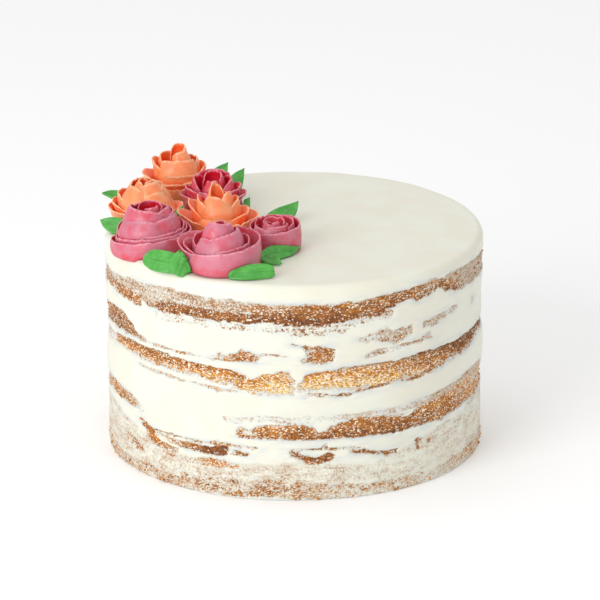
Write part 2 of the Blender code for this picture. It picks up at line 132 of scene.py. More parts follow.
def noise(points, size, start=0.0):
    """Smooth noise between -1 and 1. The size of its lumps is one number, or one for each axis."""
    place = points / size + start
    cell = np.floor(place).astype(int)
    share = smooth(place - cell)
    total = np.zeros(points.shape[:-1])
    for corner in itertools.product((0, 1), repeat=3):
        at = (cell + corner) % LATTICE_SIZE
        weight = np.prod(np.where(corner, share, 1.0 - share), axis=-1)
        total += weight * LATTICE[at[..., 0], at[..., 1], at[..., 2]]
    return total


def noises(points, *layers):
    """A sum of noises, each given as its amount, the size of its lumps and its start."""
    return sum(amount * noise(points, size, start) for amount, size, start in layers)


# Bare stretches of the side. Each has how softly the cream thins out below and above it, how much darker its
# crumb is at the lower edge than at the upper one, how far cream is smeared evenly over it instead of in
# crumbs, and knots of (angle, low edge, high edge, bareness, tone). Bareness runs from 0, cream, to 1, crumb,
# and tone from 0, golden, to 1, dark brown.

HALO = 5.0  # how far the cream is thin round a bare stretch
PATCHINESS = 0.7  # how unevenly crumb shows through thin cream

STRETCHES = [
    # the top sponge's dark crust
    (1.0, 1.4, 0.1, 0.0, [
        (-52, 103, 107, 0.5, 0.7), (-46, 102.5, 107.5, 0.85, 0.8), (-38, 103, 109.5, 0.95, 0.85),
        (-30, 103.5, 110, 0.95, 0.85), (-22, 104.5, 109.5, 0.9, 0.85), (-15, 104.5, 109.5, 0.92, 0.95),
        (-8, 105, 110.5, 0.95, 1.0), (0, 103.5, 110.5, 0.95, 1.0), (8, 104, 110, 0.95, 1.0),
        (14, 105, 111, 0.9, 0.9), (20, 106.5, 112, 0.85, 0.8), (32, 106.5, 108.5, 0.55, 0.8)]),
    # its tan crumb under the cap, thinly smeared on the left
    (1, 3, 0.25, 0.32, [
        (-47, 107, 112, 0.42, 0.8), (-36, 108, 117.5, 0.56, 0.9), (-28, 108, 116.5, 0.56, 0.9),
        (-20, 109, 118, 0.58, 0.9), (-12, 109, 116, 0.6, 0.8), (-4, 109, 116, 0.54, 0.7)]),
    (1.0, 2.6, 0.25, 0.0, [
        (-16, 108, 113.5, 0.6, 0.6), (-10, 108, 115.5, 0.7, 0.65), (0, 108, 116, 0.8, 0.7),
        (10, 108, 115.5, 0.88, 0.75), (20, 107.5, 116.5, 0.92, 0.75), (28, 108.5, 117.5, 0.92, 0.75),
        (36.5, 113, 118.5, 0.85, 0.7), (40, 110.5, 119.5, 0.72, 0.6), (46, 112, 120, 0.7, 0.65),
        (49.5, 114.5, 119.5, 0.7, 0.65), (51.5, 111, 119, 0.85, 0.7), (56, 109, 116.5, 0.88, 0.75),
        (61, 106.5, 111, 0.72, 0.65), (64, 107, 109, 0.5, 0.6)]),
    (1.0, 1.6, 0.2, 0.5, [
        (52, 114, 120, 0.6, 0.6), (60, 109, 120, 0.7, 0.65), (68, 107, 119.5, 0.72, 0.65),
        (76, 106.5, 119, 0.7, 0.65), (84, 105, 118, 0.72, 0.6), (95, 105, 117, 0.6, 0.6)]),
    (1.0, 1.6, 0.2, 0.1, [
        (90, 105, 117.5, 0.7, 0.65), (105, 104, 117.5, 0.8, 0.7), (130, 105, 116, 0.75, 0.6),
        (155, 106.5, 117.5, 0.85, 0.75), (180, 104, 114.5, 0.8, 0.65), (205, 105.5, 116.5, 0.72, 0.55),
        (230, 103.5, 114, 0.85, 0.7), (255, 102, 109, 0.72, 0.6), (278, 101.5, 107, 0.6, 0.55)]),
    # its low end on the left
    (1.0, 2.6, 0.2, 0.0, [
        (-84, 101.5, 108, 0.6, 0.65), (-68, 101, 108.5, 0.78, 0.65), (-60, 101, 107.5, 0.88, 0.6),
        (-54, 100.5, 107.5, 0.85, 0.6), (-52.5, 101, 107, 0.6, 0.6)]),
    (2.0, 3.0, 0.0, 0.36, [
        (-84, 105, 110.5, 0.5, 0.9), (-66, 106, 112, 0.56, 0.9), (-57, 106, 115.5, 0.52, 0.9),
        (-50, 104, 116, 0.5, 0.8), (-44, 106, 117, 0.48, 0.7), (-38, 112, 118, 0.4, 0.6)]),
    # specks under the crust
    (2.5, 1.5, 0.0, 0.0, [
        (-47, 97, 103, 0.25, 0.8), (-40, 98, 103, 0.28, 0.8), (-10, 100, 104, 0.25, 0.8),
        (1, 98, 104, 0.32, 0.9), (12, 98, 105, 0.3, 0.8), (22, 103, 107, 0.3, 0.8),
        (32, 104, 107, 0.3, 0.8)]),
    # patches where the top sponge's coat is scraped through
    (1, 2.4, 0.1, 0.1, [
        (-102, 80, 84, 0.4, 0.6), (-90, 77, 87, 0.66, 0.7), (-80, 78, 89, 0.8, 0.8),
        (-74, 79.5, 91, 0.95, 0.85), (-65, 80, 92, 1, 0.85), (-59, 79.5, 87, 0.8, 0.8),
        (-56, 80, 83.5, 0.55, 0.7), (-50, 80.2, 82.2, 0.42, 0.55)]),
    (0.6, 0.9, 0.0, 0.0, [
        (-54, 80.2, 82, 0.42, 0.5), (-38, 80.3, 81.6, 0.38, 0.5), (-27, 80.4, 81.8, 0.4, 0.5),
        (-24, 80.8, 85.5, 0.55, 0.45), (-20, 80.8, 84.5, 0.55, 0.5), (-18, 81, 87, 0.7, 0.65),
        (-16, 81.5, 88.8, 0.78, 0.7), (-13, 81.5, 86.5, 0.78, 0.65), (-9.5, 82.5, 85.5, 0.55, 0.6)]),
    (0.6, 0.6, 0.0, 0.0, [
        (-11, 85.3, 86.4, 0.45, 0.7), (-6, 85.8, 87.2, 0.5, 0.7), (-1, 85.5, 86.8, 0.3, 0.7)]),
    (0.5, 0.5, 0.0, 0.0, [
        (-1, 93, 94, 0.6, 0.9), (3, 91.6, 92.8, 0.8, 0.9), (10.5, 89.8, 91.2, 0.7, 0.9)]),
    (1.2, 0.6, -0.1, 0.0, [
        (2.5, 82, 90, 0.5, 0.7), (4.5, 82, 91.5, 0.8, 0.7), (8, 81.5, 91, 0.8, 0.65),
        (11.5, 82, 90.5, 0.7, 0.65), (13, 85, 89, 0.3, 0.6)]),
    (2.5, 2.5, 0, 0.2, [
        (19, 92, 94.5, 0.35, 0.7), (25, 91, 95.5, 0.45, 0.7), (28.5, 90, 98.5, 0.5, 0.7),
        (31, 88, 96, 0.6, 0.75), (34, 89, 97, 0.55, 0.75), (39, 92, 98, 0.35, 0.7)]),
    (1.8, 1.8, 0, 0.15, [
        (22, 81.5, 84.5, 0.4, 0.7), (26, 83, 87, 0.5, 0.7), (30, 83.5, 86.5, 0.3, 0.7),
        (33.5, 84.5, 87.5, 0.5, 0.7), (42, 85, 88, 0.45, 0.75), (44.5, 86, 90, 0.6, 0.75),
        (46.5, 85, 88, 0.4, 0.7)]),
    (2.5, 2.5, 0, 0.25, [
        (42, 93, 97, 0.35, 0.7), (49, 93.5, 98.5, 0.5, 0.75), (53, 94.5, 99, 0.55, 0.75),
        (60, 98, 100.5, 0.4, 0.75)]),
    (1, 1, 0, 0, [
        (69.5, 94, 98.5, 0.6, 0.9), (71.5, 94, 96.5, 0.5, 0.9)]),
    # the middle sponge's top, orange to golden to brown
    (5.5, 0.9, -0.5, 0.0, [
        (-90, 66, 74, 0.4, 0.5), (-76, 67, 74, 0.4, 0.5), (-73.5, 68, 74, 0.2, 0.5),
        (-70, 69.5, 75.5, 0.8, 0.55), (-62, 71, 77, 1.0, 0.6), (-55, 70.5, 77.2, 1.0, 0.6),
        (-48, 70, 77.8, 1.0, 0.6), (-40, 70, 77.2, 0.98, 0.5), (-30, 69, 76.8, 0.92, 0.45),
        (-20, 67.5, 75.8, 0.88, 0.4), (-15.5, 64.5, 73.5, 0.8, 0.35), (-12, 64, 70.5, 0.72, 0.2),
        (-9, 63.5, 75, 0.8, 0.15), (-4, 63.5, 77, 0.8, 0.1), (-0.8, 63.5, 76, 0.7, 0.15),
        (0.8, 65, 70, 0.25, 0.2), (3, 66, 74.5, 0.75, 0.15), (8, 66.5, 76.5, 0.88, 0.15),
        (15, 65.5, 78, 0.88, 0.2), (22, 65.5, 78.3, 0.88, 0.25), (28, 66, 78.3, 0.88, 0.3),
        (34, 66, 78, 0.9, 0.35), (41, 66, 79, 0.92, 0.5), (48, 66.5, 78.5, 0.92, 0.6),
        (55, 69, 78, 0.92, 0.75), (62, 69, 78, 0.9, 0.95), (70, 70, 77.5, 0.85, 1.0),
        (78, 72.5, 78, 0.8, 1.0), (90, 71, 78, 0.8, 0.9), (115, 68, 78, 0.9, 0.7), (140, 66, 77, 0.85, 0.5),
        (165, 67, 78, 0.92, 0.6), (190, 65, 76.5, 0.85, 0.4), (215, 66.5, 77.5, 0.9, 0.5),
        (240, 68, 77, 0.85, 0.6), (262, 67, 75.5, 0.6, 0.5), (270, 66, 74, 0.4, 0.5)]),
    # the thin line of crumb under it
    (0.8, 0.8, 0.1, 0.2, [
        (-57, 65.5, 67, 0.35, 0.45), (-48, 64, 66.2, 0.55, 0.5), (-40, 64, 65.8, 0.5, 0.5),
        (-32, 63.3, 65, 0.42, 0.45), (-24, 62.5, 64.5, 0.5, 0.45), (-17, 62.5, 64, 0.3, 0.4)]),
    (0.5, 1.0, 0.0, 0.0, [
        (2.5, 61.2, 63.4, 0.5, 0.8), (8, 61.6, 63.6, 0.52, 0.85), (12, 61, 62.4, 0.66, 0.85),
        (17, 61, 63, 0.55, 0.85), (20, 62.6, 64, 0.56, 0.85), (27, 64.2, 65.4, 0.62, 0.85),
        (33, 64.8, 66.2, 0.6, 0.8), (38, 63.8, 66, 0.62, 0.75), (44, 65.4, 67.8, 0.52, 0.75),
        (47.5, 66.8, 68.6, 0.35, 0.75)]),
    # the middle sponge's foot on the right
    (0.8, 2.0, 0.3, 0.0, [
        (-17.8, 36.5, 39.5, 0.45, 0.55), (-16, 36, 42, 0.62, 0.55), (-13.5, 36.5, 40.5, 0.45, 0.6),
        (-10.5, 36.5, 43.8, 0.8, 0.6), (-7, 36, 45, 0.85, 0.55), (-4.5, 36.5, 44.4, 0.8, 0.6),
        (2, 36.5, 45, 0.92, 0.7), (5, 36.5, 43.5, 0.92, 0.7), (7, 36.5, 40, 0.92, 0.75),
        (10, 36.5, 41, 0.95, 0.75), (13, 36, 45, 0.96, 0.75), (20, 36, 47.5, 0.94, 0.7),
        (26, 35.5, 46.5, 0.92, 0.75), (32, 35, 44.5, 0.96, 0.8), (37, 35.5, 42.5, 0.94, 0.8),
        (40, 35.5, 46, 0.85, 0.7), (46, 35, 48, 0.82, 0.6), (52, 35, 48.5, 0.86, 0.55),
        (58, 36, 49.5, 0.84, 0.5), (64, 36.5, 50.5, 0.8, 0.4), (69, 37, 50, 0.76, 0.35),
        (74, 36.5, 48, 0.62, 0.3), (90, 36, 50, 0.7, 0.35), (115, 36, 48, 0.9, 0.6),
        (135, 36.5, 45, 0.8, 0.6), (148, 37, 41, 0.5, 0.6)]),
    # specks and a film over it
    (1.0, 2.0, 0.0, 0.4, [
        (-22, 44, 48, 0.2, 0.7), (-8, 46, 50, 0.25, 0.7), (8, 46, 50, 0.27, 0.7), (22, 47, 50.5, 0.34, 0.5),
        (34, 44, 51, 0.36, 0.45), (44, 48, 52, 0.4, 0.4)]),
    (2.0, 1.2, 0.0, 0.42, [
        (40, 46, 50.5, 0.4, 0.4), (46, 46.5, 52, 0.55, 0.4), (54, 47.5, 53, 0.6, 0.35),
        (62, 48, 54, 0.6, 0.3), (70, 46, 55, 0.6, 0.3), (84, 40, 55, 0.6, 0.3)]),
    # and on the left
    (1.6, 1.6, 0.1, 0.0, [
        (196, 38, 46, 0.5, 0.55), (215, 37, 47, 0.85, 0.6), (240, 37.5, 45, 0.75, 0.55),
        (262, 37, 45, 0.6, 0.55), (283, 38, 46, 0.55, 0.5)]),
    (1.8, 1.6, 0.1, 0.0, [
        (-84, 37.5, 45, 0.55, 0.5), (-79, 38.5, 46.5, 0.68, 0.5), (-70, 39, 46.5, 0.75, 0.55),
        (-62, 39, 45.5, 0.72, 0.55), (-57, 38, 44, 0.42, 0.55), (-51, 38, 42, 0.15, 0.5)]),
    # patches on the bottom sponge
    (0.8, 0.8, 0.1, 0.0, [
        (-55, 31, 33.5, 0.65, 0.6), (-52.5, 28, 33, 0.9, 0.65), (-50, 22.5, 32, 0.92, 0.65),
        (-47.5, 20.5, 29.5, 0.85, 0.6), (-44, 20, 24.5, 0.75, 0.55), (-38, 21, 23.5, 0.45, 0.55)]),
    (1.0, 1.0, 0.1, 0.0, [
        (-46, 27.5, 30, 0.4, 0.7), (-40, 25, 28, 0.5, 0.55), (-35, 23.5, 28.5, 0.7, 0.7),
        (-31, 24, 28.5, 0.7, 0.85), (-26, 23.5, 28, 0.9, 1.1), (-21, 24.5, 30, 0.75, 1.1),
        (-19.5, 25, 29, 0.4, 1.0)]),
    (0.4, 0.5, 0.0, 0.1, [
        (-48, 29.6, 30.8, 0.6, 0.85), (-36, 29.8, 30.8, 0.66, 0.85), (-26, 29.8, 31, 0.6, 0.8),
        (-24, 30, 33.5, 0.4, 0.6), (-21, 30, 32, 0.45, 0.7), (-11, 29.8, 30.7, 0.55, 0.8)]),
    (0.8, 0.8, 0.0, 0.0, [
        (-19, 25.5, 28.5, 0.7, 0.8), (-16, 25, 27.5, 0.75, 0.8), (-13.5, 25.5, 27.5, 0.5, 0.8)]),
    (0.7, 0.9, 0.0, 0.0, [
        (-1.5, 27, 30, 0.4, 0.8), (1, 24.5, 28.5, 0.85, 0.85), (4, 21.8, 26.5, 0.85, 0.85),
        (7, 21, 25.5, 0.78, 0.8), (9.5, 22.5, 28, 0.85, 0.85), (12.5, 24.5, 26, 0.6, 0.8)]),
    (0.4, 0.6, 0.0, 0.0, [
        (-1, 29.4, 30.2, 0.5, 0.85), (7, 29.7, 31.2, 0.6, 0.85), (9, 30, 34, 0.45, 0.6),
        (11, 29.4, 31, 0.5, 0.8), (21, 29.2, 30.2, 0.4, 0.8)]),
    (0.6, 1.0, 0.0, 0.0, [
        (17, 27.5, 29, 0.6, 0.85), (21.5, 25.2, 28, 0.88, 0.85), (26, 24, 26, 0.8, 0.85),
        (30, 22.5, 25, 0.8, 0.85), (33.5, 23.5, 26, 0.5, 0.8)]),
    (0.8, 0.8, 0.0, 0.0, [
        (39, 23, 28, 0.65, 0.75), (40.5, 21, 28.5, 0.75, 0.75), (42.5, 22.5, 26.5, 0.5, 0.7)]),
    (0.7, 0.7, 0.0, 0.0, [
        (44.5, 23.5, 25.5, 0.6, 0.75), (46.5, 24, 26.5, 0.6, 0.75)]),
    (1.5, 1.5, 0.0, 0.0, [
        (-64, 14, 20, 0.45, 0.65), (-59, 13.5, 20, 0.5, 0.65), (-54, 13.5, 17.5, 0.62, 0.7),
        (-51.5, 14, 16.5, 0.4, 0.6)]),
    (2.0, 2.0, 0.0, 0.0, [
        (-44, 16, 20, 0.4, 0.5), (-32, 16, 20, 0.36, 0.5), (-27, 16, 21.5, 0.5, 0.4),
        (-22, 16, 22, 0.6, 0.4), (-17, 17, 20, 0.4, 0.4)]),
    # crumb that shows all round the foot, and thinly over it
    (0.5, 4.0, -0.15, 0.15, [
        (-90, 0, 9, 0.45, 0.4), (-72, 0, 8.5, 0.52, 0.5), (-64, 0, 7, 0.55, 0.55), (-50, 0, 8, 0.5, 0.5),
        (-40, 0, 9.5, 0.5, 0.65), (-28, 0, 10.5, 0.5, 0.7), (-20, 0, 11, 0.46, 0.65),
        (-12, 1, 12, 0.55, 0.75), (-5, 2, 12.5, 0.62, 0.7), (-2, 0, 9, 0.42, 0.55), (2, 0, 13, 0.52, 0.6),
        (10, 0, 9, 0.46, 0.5), (20, 0, 8, 0.4, 0.45), (30, 0, 8, 0.45, 0.45), (42, 0, 7, 0.4, 0.35),
        (56, 0, 8, 0.45, 0.25), (70, 0, 10, 0.5, 0.2), (90, 0, 10, 0.5, 0.3), (130, 0, 8, 0.48, 0.5),
        (180, 0, 10, 0.5, 0.5), (230, 0, 9, 0.5, 0.5), (270, 0, 9, 0.45, 0.4)]),
    (3.0, 5.0, 0.0, 0.4, [
        (-90, 8, 34, 0.36, 0.3), (-72, 8, 34, 0.34, 0.35), (-58, 8, 28, 0.3, 0.45), (-40, 8, 21, 0.3, 0.45),
        (-20, 9, 20, 0.28, 0.45), (0, 9, 22, 0.3, 0.5), (12, 9, 22, 0.26, 0.5), (24, 9, 18, 0.22, 0.45),
        (44, 8, 30, 0.2, 0.3), (62, 8, 34, 0.24, 0.25), (80, 8, 38, 0.3, 0.2), (110, 8, 30, 0.3, 0.4),
        (180, 8, 22, 0.3, 0.4), (240, 8, 26, 0.3, 0.4), (270, 8, 34, 0.36, 0.3)]),
]

# Patches on the back, which the photograph doesn't show, are drawn by chance in the upper and the lower coat.
BACK_PATCHES = 28
BACK_HEIGHTS = [(83, 99), (16, 29)]
PATCH_LIMITS = [
    (88.0, 255.0),  # where a patch starts
    (3.0, 9.0),  # how many degrees it runs on
    (0.8, 3.2),  # half its height
    (-2.5, 2.5),  # its rise
    (0.5, 0.85),  # its bareness
    (0.5, 0.9),  # its tone
]
PATCH_OUTLINE = [(0.0, 0.4), (0.4, 1.0), (0.7, 0.8), (1.0, 0.3)]  # shares of its run and of its height


def back_patches():
    """Bare stretches of the same kind as the front's."""
    chance = np.random.default_rng(21)
    for number in range(BACK_PATCHES):
        middle = chance.uniform(*BACK_HEIGHTS[number % len(BACK_HEIGHTS)])
        start, run, half, rise, bare, tone = [chance.uniform(*limits) for limits in PATCH_LIMITS]
        knots = []
        for share, wide in PATCH_OUTLINE:
            level = middle + rise * share
            knots.append((start + run * share, level - half * wide, level + half * wide, bare, tone))
        yield 1.0, 1.0, 0.0, 0.0, knots


def bareness(angle, height, points):
    """What shows at places on the side: how bare the sponge is, its tone, its smear and its halo of cream."""
    strayed = angle + ANGLE_STRAY * noise(points, 4.0, 5.1)
    low_stray = height + EDGE_FRAY * noises(points, *LOW_EDGE)
    high_stray = height + EDGE_FRAY * noises(points, *HIGH_EDGE)
    bare, halo, tones, smears, weights = np.zeros((5, *angle.shape))
    for soft_low, soft_high, darker_low, smear, knots in itertools.chain(STRETCHES, back_patches()):
        at, low, high, bared, toned = np.array(knots, float).T
        closed = at[-1] - at[0] >= 360.0
        first = at[0] - (0.0 if closed else HALO)
        turned = (strayed - first) % 360.0 + first
        inside = (turned > at[0] - HALO) & (turned < at[-1] + HALO)
        inside &= (height > low.min() - HALO) & (height < high.max() + HALO)
        a, z = turned[inside], height[inside]
        low, high = np.interp(a, at, low), np.interp(a, at, high)
        bared = np.interp(a, at, bared)
        ends = 1.0
        if not closed:
            ends = smooth((a - at[0] + 0.5) / END_RUN) * smooth((at[-1] + 0.5 - a) / END_RUN)
        window = smooth((low_stray[inside] - low) / soft_low + 0.5)
        window *= smooth((high - high_stray[inside]) / soft_high + 0.5)
        patchy = 1.0 + PATCHINESS * (1.0 - bared) * noise(points[inside], (9.0, 9.0, 3.5), 7.7)
        value = bared * patchy * ends * window
        share = np.clip((z - low) / np.maximum(high - low, 1.0), 0.0, 1.0)
        weight = value**3 + 1e-6 * window
        weights[inside] += weight
        tones[inside] += weight * (np.interp(a, at, toned) + darker_low * (0.5 - share))
        smears[inside] += weight * smear
        bare[inside] = np.maximum(bare[inside], value)
        near = smooth((z - low) / HALO + 1.0) * smooth((high - z) / HALO + 1.0)
        if not closed:
            near *= smooth((a - at[0]) / HALO + 1.0) * smooth((at[-1] - a) / HALO + 1.0)
        halo[inside] = np.maximum(halo[inside], near * np.minimum(1.0, 1.4 * bared))
    weights = np.maximum(weights, 1e-9)
    return {"bare": bare, "tone": tones / weights, "smear": smears / weights, "halo": halo}


# Meshes

def placed(name, points, faces, material, slot, nodes=(), **values):
    """A piece of the cake from points in millimetres, with a number of each name kept at its points."""
    mesh = bpy.data.meshes.new(name)
    mesh.from_pydata((points * MM).tolist(), [], faces)
    mesh.polygons.foreach_set("use_smooth", np.ones(len(mesh.polygons), bool))
    for key, value in values.items():
        attribute = mesh.attributes.new(key, "FLOAT", "POINT")
        attribute.data.foreach_set("value", np.broadcast_to(value, len(points)).astype(np.float32))
    mesh.update()
    mesh.materials.append(material)
    made = bpy.data.objects.new(name, mesh)
    bpy.context.scene.collection.objects.link(made)
    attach(made, "root")
    if nodes:
        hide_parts(*nodes)
    return made


def tube_faces(rows, columns, start=0):
    """Faces of rows of points that run round, each row over the one before, seen from outside."""
    row, column = np.meshgrid(np.arange(rows - 1), np.arange(columns), indexing="ij")
    following = (column + 1) % columns
    corners = [(row, column), (row, following), (row + 1, following), (row + 1, column)]
    return np.stack([start + r * columns + c for r, c in corners], axis=-1).reshape(-1, 4).tolist()


def lids(rows, columns, start=0):
    """The two faces that close rows of points below and above."""
    first, last = range(start, start + columns), range(start + (rows - 1) * columns, start + rows * columns)
    return [list(first)[::-1], list(last)]


def joined(parts):
    """One mesh from several, each given as its points, its faces and the values kept at its points."""
    starts = np.cumsum([0] + [len(points) for points, _, _ in parts])
    faces = [
        [corner + start for corner in face]
        for start, (_, sides, _) in zip(starts, parts)
        for face in sides
    ]
    values = {
        key: np.concatenate([np.broadcast_to(kept[key], len(points)) for points, _, kept in parts])
        for key in parts[0][2]
    }
    return np.concatenate([points for points, _, _ in parts]), faces, values


def on_cylinder(angle, height, radius):
    turn = np.radians(angle)
    return np.stack([radius * np.sin(turn), -radius * np.cos(turn), height + 0.0 * turn], axis=-1)


def face_radius(angle, height, points):
    """The radius of the cake's side, with its slow swells and without what scraping does to it."""
    radius = CAKE_RADIUS - FACE_UNDER + noises(points, *FACE_LUMPS)
    for at, level, wide, tall, amount in SWELLS:
        apart = (angle - at + 180.0) % 360.0 - 180.0
        radius = radius + amount * np.exp(-((apart / wide) ** 2) - ((height - level) / tall) ** 2)
    return radius - FOOT_DRAW * (1.0 - smooth(height / FOOT_ROUNDING + FOOT_START))


def cream_radius(angle, height, points, bare):
    scraped = CREAM_OVER - (CREAM_OVER + CREAM_UNDER) * bare
    return face_radius(angle, height, points) + scraped + noises(points, *KNIFE_STROKES)


def sponge_radius(angle, height, points, bare=None):
    return face_radius(angle, height, points) - SPONGE_UNDER + CRUMB_RELIEF * noises(points, *CRUMB_LUMPS)


def disc(name, low, high, radius_at, node, material, slot, inner=0.0, over=None):
    """A closed piece with its face on the side: a disc, a skin with an inner radius, or, where there is a
    function for the face's rows over the top, the cap."""
    turn = np.linspace(-180.0, 180.0, COLUMNS, endpoint=False)
    angle, height = np.meshgrid(turn, np.linspace(low, high, max(3, round((high - low) / CELL) + 1)))
    points = on_cylinder(angle, height, CAKE_RADIUS)
    shown = bareness(angle, height, points)
    face = on_cylinder(angle, height, radius_at(angle, height, points, shown["bare"]))
    if over:
        face = np.concatenate([face, over(turn, face[-1])])
    # The rows at the ends are kept twice, so that the face's shading doesn't turn in at them.
    if inner:
        behind = [face[-1], on_cylinder(turn, high, inner), on_cylinder(turn, low, inner), face[0]]
    else:
        behind = [face[0], face[-1]]
    start = len(face) * COLUMNS
    faces = tube_faces(len(face), COLUMNS)
    faces += tube_faces(4, COLUMNS, start) if inner else lids(2, COLUMNS, start)
    everything = np.concatenate([face, behind]).reshape(-1, 3)
    values = {key: np.pad(value.ravel(), (0, len(everything) - value.size)) for key, value in shown.items()}
    return placed(name, everything, faces, material, slot, [node], **values)


RIM_ROWS = 9
TOP_ROWS = 30
TOP_CROWDING = 1.2  # how the rows crowd towards the middle
TOP_HOLE = 0.03  # where the last row stands, as a share of the radius, before they crowd
TOP_SINK = 0.15


def over_the_top(turn, edge):
    """Rows of points from the upper edge of the cap's side over its soft rim to its middle."""
    edge = np.hypot(edge[:, 0], edge[:, 1])
    bend = 0.5 * math.pi * np.arange(1, RIM_ROWS + 1) / RIM_ROWS
    rows = [(edge - RIM_ROUNDING * (1.0 - math.cos(b)), RIM_ROUNDING * (math.sin(b) - 1.0)) for b in bend]
    shares = np.linspace(1.0, TOP_HOLE, TOP_ROWS)[1:] ** TOP_CROWDING
    rows += [((edge - RIM_ROUNDING) * share, 0.0) for share in shares]
    over = np.array([on_cylinder(turn, CAKE_TOP + drop, radius) for radius, drop in rows])
    # The knife leaves a slightly uneven top.
    over[..., 2] += noises(over, *TOP_WAVES) - TOP_SINK
    return over


def crumbs(material):
    """Loose crumbs that cling where the sponge is bare, most of them low down."""
    chance = np.random.default_rng(5)
    angle = chance.uniform(-180.0, 180.0, CRUMB_TRIES)
    height = chance.uniform(*CRUMB_HEIGHTS, CRUMB_TRIES)
    height *= chance.choice([1.0, LOW_CROWDING], CRUMB_TRIES, p=[1.0 - LOW_CRUMBS, LOW_CRUMBS])
    points = on_cylinder(angle, height, CAKE_RADIUS)
    shown = bareness(angle, height, points)
    kept = np.flatnonzero(shown["bare"] > chance.uniform(0.25, 1.0, CRUMB_TRIES))[:CRUMBS]
    angle, height = angle[kept], height[kept]
    radius = sponge_radius(angle, height, points[kept])
    size = chance.uniform(*CRUMB_SIZES, len(kept)) * (1.0 + 0.5 * (height < LARGE_UNDER))
    middles = on_cylinder(angle, np.maximum(height, 0.7 * size), radius + 0.25 * size)
    ball = bmesh.new()
    bmesh.ops.create_icosphere(ball, subdivisions=1, radius=1.0)
    corners = np.array([v.co for v in ball.verts])
    sides = [[v.index for v in f.verts] for f in ball.faces]
    count = len(corners)
    lumps = corners * chance.uniform(*CRUMB_SHAPES, (len(kept), count, 1)) * size[:, None, None]
    everything = (middles[:, None] + lumps).reshape(-1, 3)
    faces = [[count * number + corner for corner in side] for number in range(len(kept)) for side in sides]
    tones = np.repeat(shown["tone"][kept], count) + np.repeat(chance.uniform(*CRUMB_TONES, len(kept)), count)
    shown = {"bare": 1.0, "tone": tones, "smear": 0.0, "halo": 0.0}
    return placed("crumbs", everything, faces, material, "sponge", **shown)


# Roses, as piped: petals wound round a core. Lengths in millimetres, heights from the cake's top.

ROSE_BED = 0.3
ROSE_FOOT = 0.5
SQUEEZE_RUN = 3.0  # depth over which a petal yields to the next rose
MOST_DROOP = 2.2  # how far a rose sags over the rim
DROOP_HEIGHT = 14.0
NEIGHBOUR_GAP = 0.15  # how far a rose stays from the plane between it and the next
REACH_SPARE = 1.0  # how far a rose may reach past its widest lip
PETAL_CELL = 0.9
PETAL_ROWS = 12
ROW_CROWDING = 0.8  # how a petal's rows crowd towards its lip
LIP_ROWS = 3
FOOT_THICKNESS = 2.6
LIP_THICKNESS = 0.8
END_THICKNESS = 0.3  # a petal's thickness at its ends, as a share of that at its middle
LIP_FRAY = 0.42
LIP_WAVE = 0.4
ROUNDED_LIP = 1.05  # what the rounded lip counts as, past the last row's 1
PATTERN_STEP = 40.0  # how far the lines in the cream move on from petal to petal
# A petal's inner face is deepened by painted shade.
INSIDE_SHADE = 0.8  # how much deeper the pink is on a petal's inner face

PETAL_DEFAULTS = {
    "base": ROSE_FOOT,  # height of the foot
    "tilt": 0.0,  # rise of the lip from one end to the other
    "ends": 0.6,  # height at the ends as a share of the height at the middle
    "arch": 3.0,  # how flat the lip runs before it falls to the ends
    "lean": 1.3,  # how late the petal leans out
    "belly": 1.0,  # how far its face bulges
    "curl": 0.0,  # how far the lip rolls out
    "tuck": 1.5,  # how far the ends draw in
    "spiral": 0.0,  # growth of the radius from one end to the other
    "point": 0.0,  # a peak on the lip
    "point_at": 0.5,  # and its place, from 0 at one end of the petal to 1 at the other
    "dip": 0.0,  # a hollow in the lip
    "dip_at": 0.5,  # and its place
}
POINT_WIDTH = 0.09  # as a share of the petal's length
DIP_WIDTH = 0.12
TUCK_BEND = 2.5  # how near its ends a petal draws in
CURL_START = 0.65  # height from which the lip rolls out, as a share of the petal's
CURL_BEND = 1.3
CURL_FALL = 0.4  # how far a rolled lip sinks
ENDS_LEAN = 0.3  # how far the ends lean out, as a share of the middle
ENDS_BELLY = 0.4  # and how far they bulge


def petal(middle, sweep, foot, lip, height, **more):
    """A petal: the angle of its middle, its sweep, the radii of its foot and its lip, and its height."""
    named = {"middle": middle, "sweep": sweep, "foot": foot, "lip": lip, "height": height}
    return {**PETAL_DEFAULTS, **named, **more}


